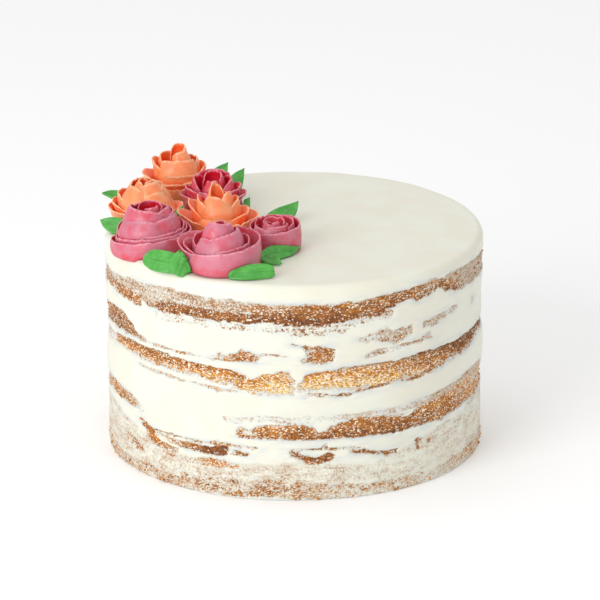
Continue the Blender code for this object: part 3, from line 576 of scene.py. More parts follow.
# name: centre x, centre y, colour, radius and height of the core, petals from the outside in
ROSES = {
    "rose_pink_front": (-42.0, -74.0, "pink", 16.5, 20.0, [
        petal(35, 240, 19.6, 21.2, 15.0, tilt=9.5, ends=0.86, spiral=2.6, tuck=0.6, arch=5, lean=1.0),
        petal(-118, 130, 16.5, 23.5, 15.5, belly=0.6, tuck=2.0, curl=0.8, lean=1.0),
        petal(-100, 90, 15.0, 20.0, 14.5, base=2, tuck=2.0, curl=0.5),
        petal(25, 230, 14.2, 16.6, 14.8, base=2, tilt=9, ends=0.8, spiral=1.4, lean=1.0),
        petal(-150, 150, 13.4, 16.0, 17.0, base=3, belly=1.2),
        petal(0, 205, 12.6, 11.0, 21.3, base=4, tilt=7, ends=0.8, belly=3.0, dip=1.4, dip_at=0.36, arch=4),
        petal(95, 120, 11.4, 9.6, 23.0, base=8, ends=0.5, belly=2.2, arch=2.2),
        petal(190, 160, 10.6, 9.5, 22.0, base=8, belly=2.0),
        petal(-30, 240, 8.0, 5.2, 27.2, base=12, ends=0.82, belly=2.4, tilt=0.5, dip=0.5, dip_at=0.7),
        petal(70, 120, 7.0, 6.0, 26.4, base=12, belly=1.8),
        petal(160, 200, 5.5, 3.4, 26.2, base=14, ends=0.7, belly=1.2),
    ]),
    "rose_pink_left": (-82.0, -38.0, "pink", 18.5, 20.0, [
        petal(20, 280, 21.8, 23.0, 10.0, tilt=9, ends=0.92, belly=0.8, spiral=0.6, tuck=0.6, arch=5, lean=1),
        petal(200, 120, 20.0, 21.0, 12.0, ends=0.7),
        petal(15, 270, 19.0, 21.2, 11.2, base=1, tilt=7, ends=0.88, spiral=0.6, belly=0.4, lean=1.0),
        petal(40, 220, 16.8, 19.6, 13.0, base=3, tilt=7, ends=0.8, spiral=0.5),
        petal(-32, 150, 16.6, 14.8, 19.0, base=3, tilt=2.5, ends=0.66, belly=2.6, arch=2.6, dip=0.8,
              dip_at=0.35),
        petal(62, 140, 15.6, 14.4, 20.6, base=3, tilt=-1, belly=2.2),
        petal(100, 120, 14.0, 13.0, 22.2, base=5, ends=0.55, belly=2.0),
        petal(190, 190, 13.4, 12.4, 22.6, base=7, belly=2.0),
        petal(-45, 190, 13.6, 11.0, 24.8, base=7, ends=0.82, belly=2.4, tilt=-1.0),
        petal(80, 150, 12.0, 10.0, 24.2, base=8, ends=0.7, belly=2.0),
        petal(170, 190, 8.6, 7.2, 25.2, base=12, ends=0.8, belly=1.6),
        petal(40, 200, 5.6, 4.2, 24.2, base=12, ends=0.85, belly=1.2),
    ]),
    "rose_pink_right": (-12.0, -39.0, "pink", 12.5, 12.0, [
        petal(35, 250, 14.2, 14.8, 13.2, tilt=6, ends=0.92, belly=0.5, spiral=0.6, tuck=0.6, arch=5, lean=1),
        petal(-150, 140, 13.5, 14.2, 14.0, ends=0.8, belly=0.8),
        petal(160, 210, 11.6, 11.8, 15.5, base=4, ends=0.85, belly=0.8),
        petal(-40, 150, 10.8, 10.6, 13.6, base=5, ends=0.85, belly=0.6),
        petal(50, 170, 8.8, 8.0, 14.4, base=5, ends=0.85, belly=0.6),
        petal(170, 190, 7.4, 6.6, 16.0, base=5, ends=0.85, belly=0.6),
        petal(-80, 170, 5.6, 4.6, 15.0, base=5, ends=0.85, belly=0.6),
        petal(60, 190, 3.6, 2.6, 15.4, base=5, ends=0.85, belly=0.4),
    ]),
    "rose_pink_back": (-47.5, 28.0, "pink", 14.0, 14.0, [
        petal(0, 200, 16.0, 18.5, 9.5, ends=0.7, spiral=0.6),
        petal(180, 190, 16.0, 18.5, 12.0, ends=0.7, spiral=0.6),
        petal(-60, 130, 13.0, 18.5, 12.5, base=2, belly=0.8, curl=1.0),
        petal(70, 120, 13.0, 18.5, 13.0, base=2, belly=0.8, curl=1.2),
        petal(-75, 110, 11.0, 15.0, 16.0, base=3, belly=1.2, curl=0.8),
        petal(85, 110, 11.5, 15.5, 16.5, base=3, curl=1.0),
        petal(175, 150, 11.5, 13.5, 21.0, base=3, belly=1.5),
        petal(-110, 110, 9.0, 11.0, 20.0, base=5, ends=0.55, belly=1.8),
        petal(100, 120, 9.0, 11.0, 20.0, base=5, ends=0.55, belly=2.0),
        petal(-20, 140, 9.4, 9.6, 13.0, base=6, ends=0.7, belly=1.4),
        petal(165, 190, 6.0, 5.6, 22.6, base=9, ends=0.7, belly=1.8),
        petal(0, 170, 5.5, 3.4, 19.0, base=9, ends=0.75, belly=1.6),
    ]),
    "rose_orange_centre": (-43.5, -16.0, "orange", 13.0, 18.0, [
        petal(-75, 120, 13.0, 23.0, 14.4, base=1.5, ends=0.5, belly=-0.8, curl=0.8, lean=0.9),
        petal(75, 150, 13.5, 21.6, 12.6, base=1.0, ends=0.62, belly=1.4, curl=0.8, lean=1.0, arch=4),
        petal(180, 130, 13.5, 19.5, 13.0, ends=0.5, belly=0.8, curl=1.0),
        petal(10, 110, 13.0, 18.5, 7.5, ends=0.5, belly=0.8, curl=1.0),
        petal(90, 120, 11.0, 17.0, 15.8, base=4, ends=0.55, belly=1.4, curl=0.6),
        petal(-95, 105, 10.5, 16.5, 19.5, base=3, ends=0.4, belly=0.2, curl=0.4, point=1.4, point_at=0.45,
              lean=1),
        petal(-5, 170, 11.0, 11.0, 13.6, base=4, ends=0.5, belly=2.6, curl=0.6),
        petal(-80, 110, 9.4, 11.2, 22.6, base=5, ends=0.5, belly=1.8, curl=0.6, point=1.6, point_at=0.35),
        petal(95, 120, 9.8, 10.6, 22.6, base=6, ends=0.5, belly=2.0, curl=0.6),
        petal(175, 130, 9.0, 9.5, 23.0, base=5, ends=0.5, belly=1.8, curl=0.5),
        petal(-5, 200, 9.6, 6.6, 24.4, base=6, ends=0.7, belly=3.2, dip=2.0, dip_at=0.68),
        petal(60, 100, 7.4, 6.4, 27.0, base=10, ends=0.5, belly=2.0, curl=0.4),
        petal(-155, 150, 6.0, 4.8, 28.6, base=10, ends=0.65, belly=1.6, point=1.8, point_at=0.55),
    ]),
    "rose_orange_left": (-85.0, 9.6, "orange", 16.0, 20.0, [
        petal(-75, 130, 17.0, 20.8, 10.0, belly=1.2, curl=1.0),
        petal(55, 150, 15.5, 20.0, 7.5, base=1.0, curl=1.2),
        petal(180, 160, 15.5, 19.0, 11.0),
        petal(-85, 110, 15.0, 19.0, 13.0, base=2, ends=0.55, belly=1.2, curl=0.8),
        petal(80, 110, 13.5, 20.0, 11.0, base=2, ends=0.5, curl=1.0),
        petal(-100, 110, 13.5, 15.5, 17.5, base=4, ends=0.5, belly=1.6, curl=0.6),
        petal(30, 165, 14.4, 10.8, 19.5, base=2, ends=0.46, belly=3.8, arch=2.0, tilt=1),
        petal(-55, 150, 13.4, 8.5, 22.0, base=4, ends=0.5, belly=4.0, arch=2.2),
        petal(105, 150, 12.0, 9.0, 21.5, base=5, ends=0.55, belly=3.0),
        petal(-150, 150, 11.5, 9.0, 23.4, base=6, belly=2.8),
        petal(55, 190, 9.6, 5.6, 24.0, base=8, ends=0.8, belly=3.0),
        petal(-110, 190, 7.0, 4.2, 24.6, base=10, ends=0.8, belly=2.0),
        petal(60, 200, 4.0, 2.4, 24.4, base=10, ends=0.85),
    ]),
    "rose_orange_back": (-68.5, 60.0, "orange", 14.0, 19.0, [
        petal(-60, 150, 15.5, 19.5, 9.0, base=1.0, curl=1.2),
        petal(55, 150, 15.0, 18.5, 9.5, base=1.0, curl=1.2),
        petal(180, 160, 15.0, 18.0, 11.0),
        petal(-78, 120, 13.0, 19.0, 14.5, base=2, belly=0.6, curl=1.2),
        petal(5, 130, 13.0, 18.0, 12.0, base=3, belly=0.6, curl=1.4),
        petal(70, 130, 12.4, 17.5, 13.5, base=3, belly=0.6, curl=1.4),
        petal(100, 100, 12.0, 15.5, 18.5, base=4, ends=0.5, belly=1.4, curl=1.0),
        petal(20, 160, 11.8, 13.6, 15.6, base=4, curl=1.2),
        petal(-95, 110, 10.5, 13.0, 22.0, base=5, ends=0.55, belly=1.6, curl=1.4),
        petal(10, 170, 11.0, 10.2, 23.2, base=5, ends=0.76, belly=3.2, curl=0.4, arch=4),
        petal(115, 120, 10.5, 11.0, 22.0, base=6, belly=2.2, curl=0.6),
        petal(-130, 130, 9.5, 9.5, 24.0, base=7, belly=2.0, curl=0.6),
        petal(55, 180, 6.6, 5.2, 27.0, base=12, ends=0.8, belly=2.2),
        petal(150, 190, 5.4, 4.8, 29.4, base=12, ends=0.7, belly=1.4),
    ]),
}

# How much deeper a rose's pink is outside, and how much painted shade deepens it for each petal inwards
DEEPER_AND_SHADE = {
    "rose_pink_front": (-0.15, 0.04), "rose_pink_left": (0.1, 0.035), "rose_pink_right": (0.1, 0.0),
    "rose_pink_back": (0.8, 0.0),
}


def rim_drop(distance):
    """How far the cap's surface lies under its flat top at this distance from the cake's axis."""
    out = np.clip(distance - (CAKE_RADIUS - RIM_ROUNDING), 0.0, RIM_ROUNDING)
    return RIM_ROUNDING - np.sqrt(RIM_ROUNDING**2 - out**2)


def petal_grid(p):
    """A petal's grid: u along it, v from foot to lip, the points of its middle surface and its length."""
    length = math.radians(p["sweep"]) * max(p["foot"], p["lip"])
    u, v = grid(math.ceil(length / PETAL_CELL), PETAL_ROWS)
    v = v**ROW_CROWDING
    side = 2.0 * u - 1.0
    end = np.abs(side)
    arch = 1.0 - end ** p["arch"]
    angle = np.radians(p["middle"] + 0.5 * p["sweep"] * side)
    shift = p["spiral"] * side - p["tuck"] * end**TUCK_BEND
    foot = p["foot"] + shift
    outer = ENDS_LEAN + (1.0 - ENDS_LEAN) * arch
    lip = p["foot"] + (p["lip"] - p["foot"]) * outer + shift
    lip_z = p["base"] + (p["height"] - p["base"]) * (p["ends"] + (1.0 - p["ends"]) * arch)
    lip_z += 0.5 * p["tilt"] * side
    lip_z += p["point"] * np.exp(-(((u - p["point_at"]) / POINT_WIDTH) ** 2))
    lip_z -= p["dip"] * np.exp(-(((u - p["dip_at"]) / DIP_WIDTH) ** 2))
    curl = p["curl"] * smooth((v - CURL_START) / (1.0 - CURL_START)) ** CURL_BEND * outer
    bulge = p["belly"] * np.sin(math.pi * v) * (ENDS_BELLY + (1.0 - ENDS_BELLY) * arch)
    radius = foot + (lip - foot) * v ** p["lean"] + bulge + curl
    height = p["base"] + (lip_z - p["base"]) * v - CURL_FALL * curl
    return u, v, np.stack([radius * np.sin(angle), -radius * np.cos(angle), height], axis=-1), length


def petal_thickness(u, v):
    end = np.abs(2.0 * u - 1.0)
    share = END_THICKNESS + (1.0 - END_THICKNESS) * (1.0 - end**4)
    return (FOOT_THICKNESS * (1.0 - v) + LIP_THICKNESS * v) * share


def reach(name):
    """The radius of a rose at its widest."""
    return max(p["lip"] + p["curl"] + REACH_SPARE for p in ROSES[name][5])


def settled(points, name):
    """Moves a rose's points into place: they yield to the roses beside it and sag over the rim."""
    x0, y0 = ROSES[name][:2]
    points = points + np.array([x0, y0, 0.0])
    for other, (x1, y1, *_) in ROSES.items():
        apart = math.hypot(x1 - x0, y1 - y0)
        if other == name or apart > reach(name) + reach(other) + 2.0 * SQUEEZE_RUN:
            continue
        towards = np.array([x1 - x0, y1 - y0]) / apart
        limit = apart * reach(name) / (reach(name) + reach(other)) - NEIGHBOUR_GAP
        along = (points[..., :2] - (x0, y0)) @ towards
        over = np.maximum(along - (limit - SQUEEZE_RUN), 0.0)
        yielded = over - SQUEEZE_RUN * (1.0 - np.exp(-over / SQUEEZE_RUN))
        points[..., :2] -= yielded[..., None] * towards
    droop = np.minimum(rim_drop(np.hypot(points[..., 0], points[..., 1])), MOST_DROOP)
    points[..., 2] += ROSE_BED - droop * (1.0 - smooth(points[..., 2] / DROOP_HEIGHT))
    return points


def frayed(points, v, start):
    """Roughens a petal towards its lip: a wavy edge with small tears."""
    wave = noises(points, (LIP_WAVE, 7.0, start), (0.2, 2.5, start))
    tears = noises(points * (1.0, 1.0, 0.0), (1.0, 2.2, start + 3.0), (0.4, 1.1, start))
    tears = np.where(tears < -0.4, 3.0 * tears + 0.8, tears)
    ragged = 0.25 + 1.2 * smooth(0.5 + 1.4 * noise(points, 8.0, start + 6.0))
    points = points.copy()
    points[..., 2] += LIP_FRAY * ragged * tears * smooth((v - 0.7) / 0.3)
    points[..., :2] *= 1.0 + (wave * smooth(v) / np.hypot(points[..., 0], points[..., 1]))[..., None]
    return points


def normals(points):
    """Unit normals of a grid of points."""
    across = np.cross(np.gradient(points, axis=0), np.gradient(points, axis=1))
    return across / (np.linalg.norm(across, axis=-1, keepdims=True) + 1e-9)


def shell(points, thickness, lip_rows):
    """A closed shell round a grid of points: its two faces, joined over the last row by a rounded lip."""
    half = 0.5 * thickness[..., None]
    normal = normals(points)
    out, back = [points + normal * half], [points - normal * half]
    if lip_rows:
        up = points[:, -1:] - points[:, -2:-1]
        up /= np.linalg.norm(up, axis=-1, keepdims=True)
        for step in range(1, lip_rows + 1):
            turn = 0.5 * math.pi * step / (lip_rows + 0.5)
            over = points[:, -1:] + up * half[:, -1:] * math.sin(turn)
            out.append(over + normal[:, -1:] * half[:, -1:] * math.cos(turn))
            back.append(over - normal[:, -1:] * half[:, -1:] * math.cos(turn))
    out, back = np.concatenate(out, axis=1), np.concatenate(back, axis=1)
    # One closed loop of points for each step along the sheet
    loops = np.concatenate([out, back[:, ::-1]], axis=1)
    length, size = loops.shape[:2]
    faces = [side[::-1] for side in tube_faces(length, size)]
    half_size = size // 2
    for row, flip in ((0, True), (length - 1, False)):
        for k in range(half_size - 1):
            f = [row * size + k, row * size + size - 1 - k, row * size + size - 2 - k, row * size + k + 1]
            faces.append(f[::-1] if flip else f)
    return loops.reshape(-1, 3), faces, size


def grid(cells, rows):
    return np.meshgrid(np.linspace(0.0, 1.0, cells + 1), np.linspace(0.0, 1.0, rows + 1), indexing="ij")


CORE_SHAPE = [(1.0, 0.0), (0.97, 0.25), (0.8, 0.5), (0.66, 0.72), (0.46, 0.9), (0.02, 1.0)]
CORE_SIDES = 28


def core(radius, height):
    """A turned core under the petals: its points and faces."""
    turn = np.linspace(-180.0, 180.0, CORE_SIDES, endpoint=False)
    points = np.concatenate([on_cylinder(turn, height * up, radius * out) for out, up in CORE_SHAPE])
    return points, tube_faces(len(CORE_SHAPE), CORE_SIDES) + lids(len(CORE_SHAPE), CORE_SIDES)


def rose(name, material):
    _, _, colour, radius, height, petals = ROSES[name]
    deeper_and_shade, shade_inwards = DEEPER_AND_SHADE.get(name, (0.0, 0.0))
    points, faces = core(radius, height)
    # The core, deep in the middle of the rose, takes the full painted shade.
    parts = [(settled(points, name), faces, {"lip": 0.0, "along": 0.0, "rise": points[:, 2], "deeper_and_shade": 1.0})]
    for number, p in enumerate(petals):
        u, v, middle, length = petal_grid(p)
        middle = frayed(middle, v, 0.37 * number + 0.11 * radius)
        points, faces, size = shell(settled(middle, name), petal_thickness(u, v), LIP_ROWS)
        lip = np.concatenate([v[0], np.full(LIP_ROWS, ROUNDED_LIP)])
        lip = np.tile(np.concatenate([lip, lip[::-1]]), len(u))
        inside = np.tile(np.arange(size) >= size // 2, len(u))
        # Petals further in, and each petal's inner face, are deepened by painted shade.
        parts.append((points, faces, {
            "lip": lip,
            "along": np.repeat(u[:, 0] * length + PATTERN_STEP * number, size),
            "rise": lip * (p["height"] - p["base"]),
            "deeper_and_shade": deeper_and_shade + shade_inwards * number + INSIDE_SHADE * inside,
        }))
    points, faces, values = joined(parts)
    return placed(f"petals_{name}", points + (0.0, 0.0, CAKE_TOP), faces, material, colour, [name], **values)


# Leaves

LEAF_CELLS = 48
LEAF_ROWS = 20
LEAF_THICKNESS = 2.0
LEAF_REST = 1.1
LEAF_PRESS = 1.0
LEAF_STEM = 0.03
LEAF_NARROWEST = 0.3
LEAF_WAVE = 0.12
LEAF_RIDGES = 0.16
PROFILE_LEVELS = 40
PROFILE_SIDES = 36

# name: blades, each with the base, bend and tip of its midrib, what its face looks towards, half its width,
# its fold and how pointed it is
LEAVES = {
    "leaf_left_back": [((-91, 27, 1.5), (-100, 28, 8.5), (-111, 27, 11.5), (-0.3, -0.5, 1), 5.0, 0.4, 0.8)],
    "leaf_left_front": [((-93, -14, 1.6), (-103, -11, 3.6), (-111, -7, 6.2), (-5, -7, 9), 5.2, 0.3, 0.8)],
    "leaf_back_left": [((-49, 50, 1.0), (-47, 60, 9), (-39, 68, 17), (0.2, -1, 0.5), 5.4, 0.3, 0.9)],
    "leaf_back_right": [((-40, 45, 1.0), (-36, 56, 7), (-29.5, 65, 14.4), (0.4, -1, 0.6), 4.8, 0.3, 0.9)],
    "leaf_middle_right": [((-33, 14, 1.0), (-30, 20, 4), (-26, 27, 8.8), (0.4, -0.8, 0.8), 3.4, 0.3, 0.8)],
    "leaf_long_right": [((-22, -6, 1.0), (-7, 2, 2), (2, 14, 10.6), (0.2, -0.9, 0.9), 5.8, 0.25, 0.8)],
    "leaf_front_right": [((-21, -64, 2.4), (-10, -60, 3.2), (3.4, -46, 3), (0.1, -1, 0.8), 5.0, 0.15, 0.9),
                         ((-18, -60, 2.0), (-14, -68, 3.0), (-7.4, -71, 1.4), (0.1, -1, 0.9), 4.2, 0.1, 0.7)],
    "leaf_front": [((-11.5, -91, 3.4), (-22, -96, 4.6), (-37.2, -94.3, 2.4), (0, -1, 0.7), 4.7, 0.2, 0.3)],
    "leaf_front_left": [
        ((-63, -82, 4.4), (-75, -81, 5.2), (-84.4, -67.5, 4.2), (-0.4, -0.8, 0.7), 6.6, 0.1, 0.34),
        ((-65, -87, -0.6), (-62, -87, 6), (-59.4, -80, 12), (0.25, -1, 0.4), 7.4, -0.14, 0.34)],
    "leaf_middle_left": [((-62, -8, 1.0), (-67, -3, 6), (-72, 4, 12), (0.5, -1, 0.6), 4.0, 0.3, 0.8)],
}


def rose_profile(name):
    """The rose's radius for each millimetre of height, and for each of its sides."""
    radii = np.zeros((PROFILE_LEVELS, PROFILE_SIDES))
    radii[:4] = ROSES[name][3]
    for p in ROSES[name][5]:
        u, v, points, _ = petal_grid(p)
        wide = np.hypot(points[..., 0], points[..., 1]) + 0.5 * petal_thickness(u, v)
        level = np.clip(np.round(points[..., 2]).astype(int), 0, PROFILE_LEVELS - 2)
        for up, over in itertools.product((0, 1), (-1, 0, 1)):
            np.maximum.at(radii, (level + up, (side_of(points) + over) % PROFILE_SIDES), wide)
    return radii


def side_of(away):
    """The number of the side that a point lies on, from the middle of a rose."""
    turn = np.arctan2(away[..., 1], away[..., 0]) / (2.0 * math.pi)
    return np.round(turn * PROFILE_SIDES).astype(int) % PROFILE_SIDES


PROFILES = {name: rose_profile(name) for name in ROSES}


def leaf_points(p, u, v):
    """Points of a leaf's middle surface, laid on the cake and against the roses."""
    base, bend, tip, face, half, fold, pointed = p
    base, bend, tip, face = (np.array(point, float) for point in (base, bend, tip, face))
    u = u[..., None]
    side = 2.0 * v[..., None] - 1.0
    middle = (1.0 - u) ** 2 * base + 2.0 * u * (1.0 - u) * bend + u**2 * tip
    along = (1.0 - u) * (bend - base) + u * (tip - bend)
    along /= np.linalg.norm(along, axis=-1, keepdims=True)
    across = np.cross(along, face)
    across /= np.linalg.norm(across, axis=-1, keepdims=True)
    up = np.cross(across, along)
    outline = np.sin(math.pi * (LEAF_STEM + (1.0 - LEAF_STEM) * u) ** 0.9) ** pointed
    width = np.maximum(half * outline, LEAF_NARROWEST)
    wave = LEAF_WAVE * np.sin(7.0 * u + 2.0 * side + half) * np.abs(side)
    ridges = LEAF_RIDGES * np.cos(3.0 * math.pi * side) * (1.0 - u) ** 0.5
    lift = width * (fold * np.abs(side) ** 1.2 + wave) + ridges
    points = middle + across * side * width + up * lift
    points = pressed(points)
    # Rounds it off along and across
    for _ in range(2):
        points[1:-1] = 0.25 * points[:-2] + 0.5 * points[1:-1] + 0.25 * points[2:]
        points = points.swapaxes(0, 1)
    return points


def pressed(points):
    """Keeps a leaf's points over the cake and outside the roses, which they lie against."""
    for name, (x, y, *_) in ROSES.items():
        away = points[..., :2] - (x, y)
        distance = np.maximum(np.linalg.norm(away, axis=-1), 0.1)
        level = np.clip(points[..., 2].astype(int), 0, PROFILE_LEVELS - 2)
        wall = PROFILES[name][level, side_of(away)] + LEAF_PRESS
        push = np.maximum(wall - distance, 0.0) / distance
        points[..., :2] += away * push[..., None]
    bed = LEAF_REST - rim_drop(np.hypot(points[..., 0], points[..., 1]))
    points[..., 2] = np.maximum(points[..., 2], bed)
    return points


def leaf_thickness(u, v):
    side = 2.0 * v - 1.0
    return LEAF_THICKNESS * (1.0 - 0.5 * side**2) * (0.5 + 0.5 * np.sin(math.pi * (0.15 + 0.7 * u)))


def leaf(name, material):
    u, v = grid(LEAF_CELLS, LEAF_ROWS)
    rib = np.abs(2.0 * v - 1.0)
    rib = np.concatenate([rib, rib[:, ::-1]], axis=1).ravel()
    blades = []
    for p in LEAVES[name]:
        points, faces, size = shell(leaf_points(p, u, v), leaf_thickness(u, v), 0)
        blades.append((points, faces, {"rib": rib, "along": np.repeat(u[:, 0], size)}))
    points, faces, values = joined(blades)
    return placed(f"blade_{name}", points + (0.0, 0.0, CAKE_TOP), faces, material, "green", [name], **values)


# Materials

def linear(red, green, blue):
    """A colour as it looks on screen, from 0 to 255, as linear light."""
    shares = np.array([red, green, blue]) / 255.0
    bent = np.where(shares <= 0.04045, shares / 12.92, ((shares + 0.055) / 1.055) ** 2.4)
    return (*bent.tolist(), 1.0)


class Finish:
    """A material, with short ways to add nodes to it."""

    def __init__(self, name, **constants):
        self.material = bpy.data.materials.new(name)
        self.material.use_nodes = True
        self.tree = self.material.node_tree
        self.shader = self.tree.nodes["Principled BSDF"]
        for socket, value in constants.items():
            self.shader.inputs[socket.replace("_", " ")].default_value = value

    def add(self, kind, inputs, output=0, **settings):
        """Adds a node whose inputs are numbers, colours or other nodes' outputs, and gives back an output."""
        made = self.tree.nodes.new(kind)
        for name, value in settings.items():
            setattr(made, name, value)
        for name, value in inputs.items():
            self.set(made.inputs[name], value)
        return made.outputs[output]

    def set(self, socket, value):
        if isinstance(value, bpy.types.NodeSocket):
            self.tree.links.new(value, socket)
        else:
            socket.default_value = value

    def place(self, size, stretch):
        """The place on the object, in units of this size in millimetres, stretched along each axis."""
        place = self.add("ShaderNodeTexCoord", {}, "Object")
        scale = [1.0 / (size * MM * share) for share in stretch]
        return self.add("ShaderNodeMapping", {"Vector": place, "Scale": scale})

    def noise(self, size, stretch=(1.0, 1.0, 1.0), detail=2.0):
        """Noise between 0 and 1 with lumps of about this size in millimetres."""
        inputs = {"Vector": self.place(size, stretch), "Scale": 1.0, "Detail": detail}
        return self.add("ShaderNodeTexNoise", inputs)

    def attribute(self, name):
        return self.add("ShaderNodeAttribute", {}, "Fac", attribute_name=name)

    def maths(self, operation, first, *others):
        """Takes values together by one operation, such as MULTIPLY."""
        for other in others:
            first = self.add("ShaderNodeMath", {0: first, 1: other}, operation=operation)
        return first

    def blend(self, *terms):
        """A weighted sum of values, given as (value, weight) pairs."""
        total = 0.0
        for value, weight in terms:
            total = self.add("ShaderNodeMath", {0: value, 1: weight, 2: total}, operation="MULTIPLY_ADD")
        return total

    def ramped(self, value, low, high, start=0.0, end=1.0, kind="SMOOTHSTEP"):
        """A value that goes from start to end while another goes from low to high."""
        inputs = {"Value": value, "From Min": low, "From Max": high, "To Min": start, "To Max": end}
        return self.add("ShaderNodeMapRange", inputs, interpolation_type=kind)

    def mix(self, share, first, second, kind="MIX"):
        """Two colours mixed, or one times the other where the kind is MULTIPLY."""
        inputs = {0: share, 6: first, 7: second}
        return self.add("ShaderNodeMix", inputs, 2, data_type="RGBA", blend_type=kind)

    def laid(self, colour, *layers):
        """A colour with others laid over it, given as (share, colour) pairs."""
        for share, over in layers:
            colour = self.mix(share, colour, over)
        return colour

    def colour(self, colour):
        self.set(self.shader.inputs["Base Color"], colour)

    def bump(self, height, depth):
        """Raises the surface by height, from 0 to 1, times a depth in millimetres."""
        normal = self.add("ShaderNodeBump", {"Height": height, "Distance": depth * MM, "Strength": 1.0})
        self.set(self.shader.inputs["Normal"], normal)


CREAM = linear(231, 231, 217)
CREAM_WARM = linear(230, 227, 211)
CREAM_THIN = linear(212, 216, 213)
CREAM_FOOT = linear(218, 208, 184)
VEIL_BEIGE = linear(212, 202, 188)
VEIL_TAN = linear(192, 160, 126)
VEIL_GREY = linear(194, 184, 172)
CRUMB_GOLDEN = linear(238, 190, 84)
CRUMB_ORANGE = linear(209, 134, 50)
CRUMB_BROWN = linear(168, 104, 46)
CRUMB_DARK = linear(122, 72, 42)
CRUMB_PALE = linear(246, 234, 212)
CRUMB_SMEARED = linear(150, 126, 106)
# The deep colours also serve as painted shade, and the pale ones are painted light on thin lips.
PINK = [linear(214, 26, 54), linear(206, 118, 138), linear(222, 148, 164)]  # deep, body and pale
ORANGE = [linear(250, 104, 40), linear(255, 156, 102), linear(255, 196, 152)]
LEAF_DEEP = linear(66, 154, 56)
LEAF_BODY = linear(88, 180, 74)
# Painted shade in a leaf's midrib groove
LEAF_MIDRIB_SHADE = linear(40, 118, 34)
SPECKLE = 1.1  # how much crumbs break up the cream where it is thin


def cake_finish(name):
    """Cream that thins out over crumb, by the bareness, tone, smear and halo that the mesh carries."""
    made = Finish(name, Subsurface_Weight=0.15, Subsurface_Scale=0.002, Specular_IOR_Level=0.35,
                  Subsurface_Radius=(1.0, 0.8, 0.5))
    bare, tone, smear, halo = (made.attribute(key) for key in ("bare", "tone", "smear", "halo"))
    fine = made.noise(1.2, detail=3.0)
    coarse = made.noise(4.2, (1.6, 1.6, 0.8))
    height = made.add("ShaderNodeSeparateXYZ", {0: made.add("ShaderNodeTexCoord", {}, "Object")}, 2)
    foot = made.ramped(height, 6.0 * MM, 22.0 * MM)
    streak = made.mix(foot, made.noise(2.0, (1.8, 1.8, 0.7)), made.noise(3.0, (6.0, 6.0, 0.55)))
    grain = made.blend((fine, 0.5), (coarse, 0.24), (streak, 0.26))
    grain = made.ramped(grain, 0.36, 0.64, -0.5 * SPECKLE, 0.5 * SPECKLE, "LINEAR")
    even = made.ramped(smear, 0.0, 1.0, 1.0, 0.25, "LINEAR")
    grain = made.maths("MULTIPLY", grain, even, made.ramped(bare, 0.03, 0.22))
    cover = made.maths("ADD", bare, grain)
    cover = made.maths("MINIMUM", cover, made.ramped(smear, 0.0, 1.0, 1.6, 0.5, "LINEAR"))
    wiped = made.ramped(made.noise(3.6, (2.0, 2.0, 0.5)), 0.36, 0.64, 1.15, 0.35)
    film = made.maths("SUBTRACT", 1.0, made.maths("MULTIPLY", smear, 1.1, wiped))
    shown = made.maths("MULTIPLY", made.ramped(cover, 0.46, 0.64), made.maths("MAXIMUM", film, 0.0))
    cream = made.mix(made.ramped(made.noise(22.0), 0.35, 0.65), CREAM, CREAM_WARM)
    thin = made.maths("MULTIPLY", halo, made.ramped(made.noise(5.0, (2.5, 2.5, 0.8)), 0.38, 0.6, 0.1, 1.0))
    cream = made.mix(thin, cream, CREAM_THIN)
    faint = made.mix(made.ramped(height, 24.0 * MM, 38.0 * MM), CREAM_FOOT, CREAM_THIN)
    tan = made.mix(made.ramped(smear, 0.5, 0.62), VEIL_TAN, VEIL_GREY)
    veil = made.laid(
        cream,
        (made.ramped(cover, 0.06, 0.26, 0.0, 0.6), faint),
        (made.ramped(cover, 0.22, 0.4), VEIL_BEIGE),
        (made.ramped(cover, 0.38, 0.56), tan),
    )
    mottle = made.noise(3.2, (1.5, 1.5, 0.7))
    shade = made.blend((tone, 1.0), (mottle, 1.2), (made.noise(1.4), 0.6))
    crumb = made.laid(
        CRUMB_GOLDEN,
        (made.ramped(shade, 0.8, 1.2, kind="LINEAR"), CRUMB_ORANGE),
        (made.ramped(shade, 1.2, 1.6, kind="LINEAR"), CRUMB_BROWN),
        (made.ramped(shade, 1.6, 2.0, kind="LINEAR"), CRUMB_DARK),
    )
    place = made.place(0.9, (1.0, 1.0, 0.625))
    lumps = made.add("ShaderNodeTexVoronoi", {"Vector": place, "Scale": 1.0}, "Color")
    cells = made.add("ShaderNodeSeparateColor", {"Color": lumps})
    crumb = made.mix(1.0, crumb, made.ramped(cells, 0.10, 0.35, 0.62, 1.0), "MULTIPLY")
    clusters = made.blend((cells, 1.0), (made.noise(2.4), 0.9), (tone, -0.4), (smear, 0.7), (1.0, 0.24))
    crumb = made.mix(made.ramped(smear, 0.1, 0.6, 0.0, 0.75), crumb, CRUMB_SMEARED)
    speck = made.mix(made.ramped(smear, 0.1, 0.5), CRUMB_PALE, CREAM)
    crumb = made.mix(made.ramped(clusters, 1.14, 1.34, 0.0, 0.88), crumb, speck)
    made.colour(made.mix(shown, veil, crumb))
    made.set(made.shader.inputs["Roughness"], made.ramped(shown, 0.0, 1.0, 0.42, 0.9, "LINEAR"))
    flat = made.ramped(cover, 0.1, 0.7, 1.0, 0.0)
    relief = made.blend((flat, 0.5), (made.maths("MULTIPLY", cells, shown), 0.4), (streak, 0.12))
    made.bump(relief, 0.5)
    return made.material


